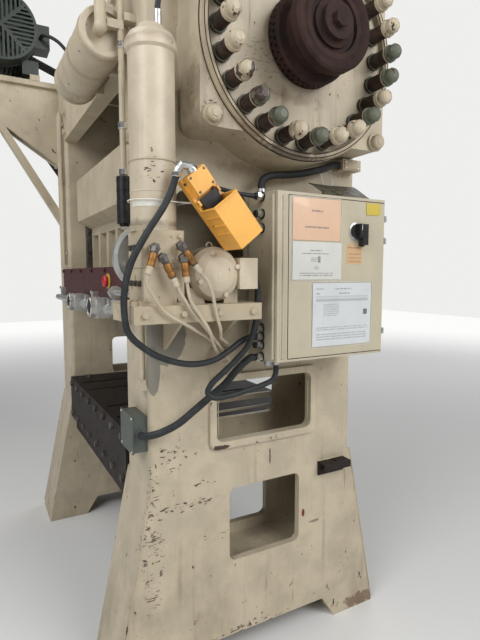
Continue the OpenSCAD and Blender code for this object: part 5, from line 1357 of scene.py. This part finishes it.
    def glands(self) -> None:
        """Adds the black lock rings and collars of the cable glands, and their nuts."""
        rings, nuts = Solid(), Solid()
        for z in self.gland_z:
            at = (self.gland_x, self.low_y, z)
            rings.turned(GLAND_LOCK, at, FRONT_OUT, 12).turned(GLAND_COLLAR, at, FRONT_OUT, 20)
            nuts.turned(GLAND_NUT, at, FRONT_OUT, HEX)
        rings.piece("gland_rings", Finish.BLACK)
        nuts.piece("gland_nuts", Finish.CHROME, sharp=20.0)

    def lid_plate(self) -> None:
        """Adds the dark sheet that leans on the enclosure's top, and the loop of wire beside it."""
        corners = ((1.126, 0.150, 1.8722), (1.126, 0.372, 1.8722), (1.006, 0.392, 1.934),
                   (1.006, 0.160, 1.934))
        made = Solid().leaf(corners, 0.006, 0.0016)
        made.block((1.040, 0.200, 1.871), (1.044, 0.350, 1.9145), 0.001)
        made.piece("leaning_plate", Finish.CAP_GREEN, sharp=50.0)
        loop = smoothed([(0.985, 0.236, 1.983), (0.990, 0.238, 1.962), (0.993, 0.250, 1.932),
                         (0.994, 0.272, 1.920), (0.990, 0.290, 1.940), (0.984, 0.294, 1.972),
                         (0.976, 0.292, 2.004)])
        Solid().swept(loop, 0.0016, 8).piece("wire_loop", Finish.ZINC, sharp=ALL_SMOOTH)


@dataclass
class HydraulicUnit:
    """Beads, band, hose fittings and bolts of the reservoir, the valve blocks, the shelf and the pump."""

    tank_at: Pair = (1.056, -0.490)
    tank_r: float = 0.073
    beads: tuple[Pair, ...] = ((1.932, 0.0030), (2.296, 0.0016), (1.7275, 0.0026))
    band_z: Pair = (1.789, 1.808)
    band_arc: Pair = (-78.0, 16.0)
    band_steps: int = 18
    port_x: float = 1.182
    tail_x: float = 1.191
    ports: tuple[Pair, ...] = ((-0.529, 1.659), (-0.505, 1.630), (-0.446, 1.668), (-0.439, 1.631))
    tails: tuple[Pair, ...] = ((-0.556, 1.582), (-0.466, 1.545), (-0.389, 1.588), (-0.433, 1.557))
    sleeve_share: float = 0.22
    ferrule_run: float = 0.026
    pump_at: Pair = (-0.302, 1.581)
    pump_screws: tuple[Pair, Pair] = ((1.046, 1.146), (1.541, 1.625))

    def build(self) -> None:
        """Makes the unit's trim."""
        self.reservoir()
        self.fittings()
        self.blocks()
        self.pump()

    def reservoir(self) -> None:
        """Adds the weld beads, the cap's joint and the blank band."""
        x, y = self.tank_at
        bead = Solid()
        for z, wire in self.beads:
            bead.ring((x, y, z), Z_UP, self.tank_r + 0.0004, wire, 72)
        bead.piece("reservoir_beads", Finish.CREAM_STAINED, sharp=ALL_SMOOTH)
        low, high = (math.radians(a) for a in self.band_arc)
        angles = [low + (high - low) * i / self.band_steps for i in range(self.band_steps + 1)]
        arcs = ((self.tank_r + 0.0014, angles), (self.tank_r + 0.0002, angles[::-1]))
        outline = [(x + r * math.cos(a), y + r * math.sin(a), self.band_z[0]) for r, arc in arcs for a in arc]
        band = Solid().prism(outline, (0, 0, self.band_z[1] - self.band_z[0]))
        band.piece("reservoir_band", Finish.TAPE, sharp=60.0)

    def fittings(self) -> None:
        """Adds each hose's elbow nuts, brass sleeve and ferrule."""
        nuts, sleeves, ferrules = Solid(), Solid(), Solid()
        for port, tail in zip(self.ports, self.tails):
            start, end = Vector((self.port_x, *port)), Vector((self.tail_x, *tail))
            run = end - start
            nuts.turned(ELBOW_NUT, (self.port_x - 0.012, *port), X_OUT, HEX)
            nuts.turned(TAIL_NUT, start, run, HEX)
            sleeves.turned(HOSE_SLEEVE, start + run * self.sleeve_share, run, 20)
            ferrules.turned(HOSE_FERRULE, end - run.normalized() * self.ferrule_run, run, 20)
        nuts.piece("hose_elbow_nuts", Finish.ELBOW, sharp=20.0)
        sleeves.piece("hose_sleeves", Finish.BRASS)
        ferrules.piece("hose_ferrules", Finish.HOSE)

    def blocks(self) -> None:
        """Adds the cap screws and side plugs of the valve blocks and the nuts on the shelf."""
        ROWS.lay("block_screws", hexagon_head(0.013, 0.008), Finish.CREAM_STAINED, Columns=2,
                 Column_step=(0, 0.104, 0), Rows=2, Row_step=(0, 0, 0.196), Turn=TO_SIDE,
                 Centre=(1.148, -0.542, 1.502))
        ROWS.lay("shelf_nuts", hexagon_head(0.019, 0.014), Finish.CREAM_STAINED, Columns=3,
                 Column_step=(-0.055, 0, 0), Rows=2, Row_step=(0, 0.020, 0), Centre=(1.140, -0.584, 1.484))
        ROWS.lay("block_side_plugs", hexagon_head(0.016, 0.010), Finish.ELBOW, Columns=3,
                 Column_step=(-0.044, 0, 0), Rows=2, Row_step=(0, 0, 0.112), Turn=TO_FRONT,
                 Centre=(1.116, -0.556, 1.552))

    def pump(self) -> None:
        """Adds the pump motor's lifting eye, its box cover's screws and its end bell's joint."""
        y, z = self.pump_at
        made = Solid().ring((1.075, y, 1.6765), X_OUT, 0.0105, 0.0032, 24)
        made.turned(EYE_FOOT, (1.075, y, 1.672), Z_UP, 16)
        seam = Solid().ring((1.106, y, z), X_OUT, 0.0922, 0.0013, 64)
        for x, z in product(*self.pump_screws):
            made.turned(PUMP_SCREW, (x, -0.158, z), Y_OUT, 12)
        made.piece("pump_trim", Finish.CREAM_CLEAN)
        seam.piece("pump_seam", Finish.OILY_PLATE, sharp=ALL_SMOOTH)


@dataclass
class FootSwitch:
    """Screws, ribs, rim and stem nuts of the foot switch hung on the machine's side."""

    back_x: float = 1.141
    middle: Pair = (-0.322, 1.790)
    tilt: float = 39.0
    ribs: tuple[Point, Pair] = ((0.010, 0.040, 0.070), (-0.0482, 0.0482))
    rim_outline: tuple[Pair, ...] = ((-0.048, 0.028), (-0.048, 0.1175), (0.048, 0.1175), (0.048, 0.028))
    rim_along: float = -0.019
    base_screws: tuple[Pair, Pair] = ((-0.115, 0.125), (-0.042, 0.042))
    cover_screws: tuple[Pair, Pair] = ((-0.123, -0.073), (-0.028, 0.028))
    stem_at: Point = (1.183, -0.405, 1.8924)
    stem_way: Point = (0.0, -0.635, 0.772)
    elbow_at: Point = (1.1712, -0.4535, 1.888)
    elbow_way: Point = (-0.12, -0.16, -0.98)

    def at(self, along: float, across: float, out: float) -> Point:
        """A point of the switch's own frame: down the slope, across it and out from the side."""
        c, s = math.cos(math.radians(self.tilt)), math.sin(math.radians(self.tilt))
        y, z = self.middle
        return (self.back_x + out, y + along * s + across * c, z - along * c + across * s)

    def build(self) -> None:
        """Makes the switch's trim."""
        self.rim()
        self.screws()
        self.stem()

    def rim(self) -> None:
        """Adds the ribs on the hood's sides, the rolled rim of its mouth and the bead at its foot."""
        made = Solid()
        for along, across in product(*self.ribs):
            made.rod(self.at(along, across, 0.030), self.at(along, across, 0.112), 0.0028, 10)
        for a, b in zip(self.rim_outline, self.rim_outline[1:]):
            made.rod(self.at(self.rim_along, *a), self.at(self.rim_along, *b), 0.0034, 10)
        made.rod(self.at(0.128, -0.046, 0.0265), self.at(0.128, 0.046, 0.0265), 0.003, 10)
        made.piece("hood_rim", Finish.YELLOW)

    def screws(self) -> None:
        """Adds the screws of the base and of the cover."""
        made = Solid()
        for along, across in product(*self.base_screws):
            made.turned(BASE_SCREW, self.at(along, across, 0.026), X_OUT, 14)
        for along, across in product(*self.cover_screws):
            made.turned(COVER_SCREW, self.at(along, across, 0.058), X_OUT, 14)
        made.piece("switch_screws", Finish.ELBOW)

    def stem(self) -> None:
        """Adds the nuts at both ends of the bent stem."""
        made = Solid()
        start, way = Vector(self.stem_at), Vector(self.stem_way)
        for out, radius in ((0.000, 0.0158), (0.006, 0.0172), (0.012, 0.0158)):
            made.turned(drum(0.006, radius, 0.001, 0.001), start + way * (out - 0.004), way, 16)
        made.turned(STEM_NUT, self.elbow_at, self.elbow_way, 8)
        made.piece("switch_stem_nuts", Finish.CHROME, sharp=25.0)


@dataclass
class Controls:
    """Collars, screws and clamps on the two-hand control bar and the guard."""

    palm_x: Pair = (-0.010, 0.470)
    plate_x: Point = (-0.637, 0.240, 0.637)
    clamp_x: tuple[float, ...] = (-0.100, 0.110, 0.330, 0.560)
    bar_y: float = -0.516
    bar_z: float = 1.436
    screw_at: Point = (0.045, -0.040, 0.036)
    stop_at: Point = (0.450, -0.490, 1.550)

    def build(self) -> None:
        """Makes the controls' trim."""
        self.palms()
        self.guard()
        self.clamps()

    def palms(self) -> None:
        """Adds the palm buttons' collars, their housings' screws and the screws of the bar's brackets."""
        collars, screws = Solid(), Solid()
        for x in self.palm_x:
            collars.ring((x, self.bar_y - 0.0625, self.bar_z + 0.006), Y_OUT, 0.0395, 0.0030, 40)
            out, back, up = self.screw_at
            for sx, sz in product((-1, 1), repeat=2):
                at = (x + sx * out, self.bar_y + back, self.bar_z + 0.002 + sz * up)
                screws.turned(PALM_SCREW, at, FRONT_OUT, 14)
        collars.piece("palm_collars", Finish.CHROME)
        for x, z in product(self.plate_x, (0.006, 0.062)):
            screws.turned(BRACKET_BOLT, (x, self.bar_y, self.bar_z + z), FRONT_OUT, HEX)
        screws.piece("control_screws", Finish.CHROME)

    def guard(self) -> None:
        """Adds the stop button's collar and the guard's bolts."""
        Solid().turned(STOP_COLLAR, self.stop_at, FRONT_OUT, 40).piece("stop_collar", Finish.TAG)
        ROWS.lay("guard_bolts", hexagon_head(0.017, 0.009), Finish.GUARD_RED, Columns=6,
                 Column_step=(0.2656, 0, 0), Rows=2, Row_step=(0, 0, 0.134), Turn=TO_FRONT,
                 Centre=(-0.664, -0.490, 1.464))

    def clamps(self) -> None:
        """Adds the clamps round the bar."""
        made = Solid()
        y, z = self.bar_y, self.bar_z
        for x in self.clamp_x:
            made.turned(BAR_CLAMP, (x, y, z), X_OUT, 28)
            made.block((x + 0.004, y - 0.012, z + 0.018), (x + 0.024, y + 0.012, z + 0.044), 0.002)
        made.piece("bar_clamps", Finish.CAST)


@dataclass
class Frame:
    """Beads, bolts and screws on the uprights, the shelf, the crown and the small boxes."""

    side_x: float = 0.925
    front_y: float = -0.470
    flare: tuple[Pair, Pair] = ((0.470, 0.790), (0.6258, 0.021))
    welds: tuple[tuple[Point, Point, float], ...] = (
        ((0.9255, -0.594, 1.4840), (0.9255, -0.150, 1.4840), 0.0042),
        ((0.9255, -0.594, 1.4290), (0.9255, -0.150, 1.4290), 0.0042),
        ((0.9255, 0.290, 0.7605), (0.9255, 0.430, 0.7605), 0.0032),
        ((0.9275, -0.198, 0.965), (0.9275, -0.198, 1.130), 0.0022),
        ((0.9275, 0.230, 0.965), (0.9275, 0.230, 1.130), 0.0022),
    )

    def build(self) -> None:
        """Makes the frame's trim."""
        self.beads()
        self.bolts()
        self.box_screws()

    def beads(self) -> None:
        """Adds the weld beads of the flare, the shelf and the windows, and the bar in the feed window."""
        made = Solid()
        for side, edge in product((-1, 1), repeat=2):
            start, end = ((side * self.side_x, edge * y, z) for y, z in self.flare)
            made.rod(start, end, 0.0030, 8)
        for start, end, radius in self.welds:
            made.rod(start, end, radius, 8)
        made.piece("weld_beads", Finish.CREAM_STAINED, sharp=70.0)
        bar = Solid().block((0.632, -0.188, 1.000), (0.650, 0.220, 1.024), 0.003)
        bar.block((0.632, -0.188, 0.952), (0.640, 0.220, 0.962), 0.002)
        bar.piece("feed_window_bar", Finish.CREAM)

    def bolts(self) -> None:
        """Adds the bolts on the crown, the shelf and the side step."""
        ROWS.lay("crown_bolts", hexagon_head(0.030, 0.018), Finish.CREAM, Columns=2,
                 Column_step=(1.160, 0, 0), Rows=3, Row_step=(0, 0, 0.110), Turn=TO_FRONT,
                 Centre=(-0.580, self.front_y, 2.430))
        ROWS.lay("shelf_bolts", hexagon_head(0.019, 0.011), Finish.CREAM_STAINED, Columns=4,
                 Column_step=(0, 0.125, 0), Rows=1, Turn=TO_SIDE, Centre=(1.168, -0.560, 1.4565))
        ROWS.lay("step_bolts", hexagon_head(0.017, 0.009), Finish.OILY_PLATE, Columns=2,
                 Column_step=(0, 0.090, 0), Rows=1, Turn=TO_SIDE, Centre=(0.933, 0.315, 0.722))

    def box_screws(self) -> None:
        """Adds the cover screws of the junction box and of the conduit's outlet box."""
        screw = round_head(0.0046, 0.0024)
        ROWS.lay("junction_screws", screw, Finish.CHROME, Columns=2, Column_step=(0.134, 0, 0), Rows=2,
                 Row_step=(0, 0, 0.124), Turn=TO_FRONT, Centre=(0.751, -0.528, 0.935))
        ROWS.lay("outlet_screws", screw, Finish.CHROME, Columns=2, Column_step=(0, 0.068, 0), Rows=2,
                 Row_step=(0, 0, 0.026), Turn=TO_SIDE, Centre=(0.990, 0.364, 2.019))


@dataclass
class AirLine:
    """Beads, straps, unions and ribs of the air tank, its pipe and its muffler, and the wires beside them."""

    tank_at: Pair = (-0.569, 2.415)
    tank_r: float = 0.088
    bead_x: Pair = (0.296, 0.781)
    strap_x: Pair = (0.36, 0.58)
    pipe_at: Pair = (0.829, -0.520)
    union_z: Point = (1.930, 2.090, 2.360)
    rib_z: tuple[float, ...] = (1.762, 1.800, 1.838, 1.876, 1.912)
    wire_at: Point = (0.790, -0.4765, 2.030)
    wire_steps: int = 66
    wire_twist: float = 0.55
    wire_rise: float = 0.0055
    wire_spread: Pair = (0.0035, 0.0030)

    def build(self) -> None:
        """Makes the air line's trim."""
        made = Solid()
        for x in self.bead_x:
            made.ring((x, *self.tank_at), X_OUT, self.tank_r + 0.0004, 0.0026, 64)
        for x in self.strap_x:
            radius = self.tank_r + 0.0018
            made.turned([(0.0, radius), (0.026, radius)], (x, *self.tank_at), X_OUT, 48)
        made.piece("tank_beads", Finish.CREAM_STAINED, sharp=60.0)
        fittings = Solid()
        for z in self.union_z:
            fittings.turned(PIPE_UNION, (*self.pipe_at, z), Z_UP, 8)
        fittings.turned(MUFFLER_NUT, (*self.pipe_at, 1.740), Z_UP, HEX)
        fittings.piece("pipe_unions", Finish.CHROME, sharp=25.0)
        ribs = Solid()
        for z in self.rib_z:
            ribs.ring((*self.pipe_at, z), Z_UP, 0.0262, 0.0016, 32)
        ribs.piece("muffler_ribs", Finish.BLACK, sharp=ALL_SMOOTH)
        self.wires()

    def wires(self) -> None:
        """Adds the two wires twisted round each other beside the pipe."""
        (x, y, z), (wide, deep) = self.wire_at, self.wire_spread
        for name, finish, phase in (("dark_wire", Finish.SHEATH, 0.0), ("silver_wire", Finish.ZINC, math.pi)):
            turns = [phase + self.wire_twist * i for i in range(self.wire_steps)]
            path = [Vector((x + wide * math.cos(a), y + deep * math.sin(a), z + self.wire_rise * i))
                    for i, a in enumerate(turns)]
            Solid().swept(path, 0.0026, 8).piece(name, finish, slot="cable_sheath", sharp=ALL_SMOOTH)


@dataclass
class Drive:
    """Bands and end bell bolts of the motor, and the bolts of the flywheel's hub."""

    motor_at: Pair = (-0.790, 3.033)
    band_x: Pair = (-1.112, -0.812)
    bell_x: float = -1.152
    bell_circle: float = 0.178
    bell_spin: float = 22.5
    hub_at: Point = (-1.345, 0.050, 2.387)
    hub_circle: float = 0.110
    bolt_count: int = 8

    def build(self) -> None:
        """Makes the drive's trim."""
        bands = Solid()
        for x in self.band_x:
            bands.ring((x, *self.motor_at), X_OUT, 0.2000, 0.0030, 72)
        bands.piece("motor_bands", Finish.MOTOR_GREEN, sharp=ALL_SMOOTH)
        RINGS.lay("bell_bolts", hexagon_head(0.016, 0.009), Finish.OILY_STEEL, Count=self.bolt_count,
                  Radius=self.bell_circle, Facing=facing(FLYWHEEL_OUT, self.bell_spin),
                  Centre=(self.bell_x, *self.motor_at))
        RINGS.lay("hub_bolts", hexagon_head(0.024, 0.014), Finish.OILY_STEEL, "flywheel",
                  Count=self.bolt_count, Radius=self.hub_circle, Facing=facing(FLYWHEEL_OUT),
                  Centre=self.hub_at)


SUB_ASSEMBLIES: tuple[type, ...] = (Cords, Brake, Enclosure, HydraulicUnit, FootSwitch, Controls, Frame,
                                    AirLine, Drive)


# Camera, floor and light


@dataclass(frozen=True)
class Studio:
    """Camera at the photograph's place, pale floor and soft lamps."""

    camera_at: Point = (2.588, -1.019, 1.582)
    camera_tilt: float = -5.39
    camera_heading: float = 61.08
    lens: float = 27.52
    floor_size: float = 30.0
    floor_fade: Pair = (2.5, 13.0)
    floor_colour: Colour = (0.80, 0.80, 0.79)
    floor_cloud: Colour = (0.768, 0.768, 0.7584)
    horizon: Colour = (0.86, 0.86, 0.85)
    sky: Colour = (0.95, 0.97, 1.0)
    sky_strength: float = 0.13
    aim: Point = (0.4, -0.2, 1.6)
    lamps: tuple[tuple[str, Point, float, float], ...] = (
        ("window_lamp", (3.2, -4.6, 4.4), 3.0, 175.0),
        ("side_lamp", (5.4, 1.6, 4.2), 3.2, 215.0),
        ("roof_lamp", (-0.6, -2.8, 6.0), 4.0, 100.0),
        ("rear_lamp", (-3.6, 4.2, 4.6), 4.0, 95.0),
    )

    def camera(self) -> None:
        """Sets the camera."""
        data = bpy.data.cameras.new("camera")
        data.lens = self.lens
        data.sensor_width = 36.0
        data.clip_start = 0.05
        data.clip_end = 100.0
        made = bpy.data.objects.new("camera", data)
        made.location = self.camera_at
        made.rotation_euler = [math.radians(a) for a in (90.0 + self.camera_tilt, 0.0, self.camera_heading)]
        bpy.context.scene.collection.objects.link(made)
        bpy.context.scene.camera = made

    def lamp(self, name: str, place: Point, size: float, power: float) -> None:
        """Adds a square soft lamp that faces the machine.

        Args:
            name: its name.
            place: where it hangs.
            size: its side.
            power: its power in watts.
        """
        data = bpy.data.lights.new(name, "AREA")
        data.size = size
        data.energy = power
        made = bpy.data.objects.new(name, data)
        made.location = place
        made.rotation_euler = (Vector(self.aim) - Vector(place)).to_track_quat("-Z", "Y").to_euler()
        bpy.context.scene.collection.objects.link(made)

    def floor(self) -> None:
        """Lays the pale floor, which takes on the horizon's tone far off."""
        half = self.floor_size / 2
        mesh = bpy.data.meshes.new("floor")
        corners = [(-half, -half, 0), (half, -half, 0), (half, half, 0), (-half, half, 0)]
        mesh.from_pydata(corners, [], [(0, 1, 2, 3)])
        made = bpy.data.objects.new("floor", mesh)
        bpy.context.scene.collection.objects.link(made)
        s = Shader("pale_floor")
        far = s.length(s.place()).step(*self.floor_fade)
        s.set(Base_Color=s.mix(s.noise(0.8, 3.0), self.floor_colour, self.floor_cloud), Roughness=0.85,
              Emission_Color=s.mix(far, (0.0, 0.0, 0.0), self.horizon), Emission_Strength=1.0)
        mesh.materials.append(s.material)

    def world(self) -> None:
        """Lights the room evenly; the camera alone sees the horizon's tone instead."""
        world = bpy.data.worlds.new("room")
        world.use_nodes = True
        bpy.context.scene.world = world
        tree = world.node_tree
        soft = tree.nodes["Background"]
        put(tree, soft.inputs["Color"], self.sky)
        put(tree, soft.inputs["Strength"], self.sky_strength)
        seen = add_node(tree, "ShaderNodeBackground", {"Color": self.horizon})
        by_camera = add_node(tree, "ShaderNodeLightPath", {}, "Is Camera Ray")
        blend = add_node(tree, "ShaderNodeMixShader", {0: by_camera, 1: soft.outputs[0], 2: seen})
        put(tree, tree.nodes["World Output"].inputs[0], blend)

    def build(self) -> None:
        """Makes the floor, the room and the lamps."""
        bpy.context.scene.view_settings.view_transform = "Standard"
        self.floor()
        self.world()
        for lamp in self.lamps:
            self.lamp(*lamp)


def main() -> None:
    """Builds the press's looks, piece by piece."""
    logging.basicConfig(level=logging.INFO, format="%(message)s")
    studio = Studio()
    studio.camera()
    dress_nodes()
    for part in SUB_ASSEMBLIES:
        log.info("building %s", part.__name__)
        part().build()
    studio.build()


if __name__ == "__main__":
    main()
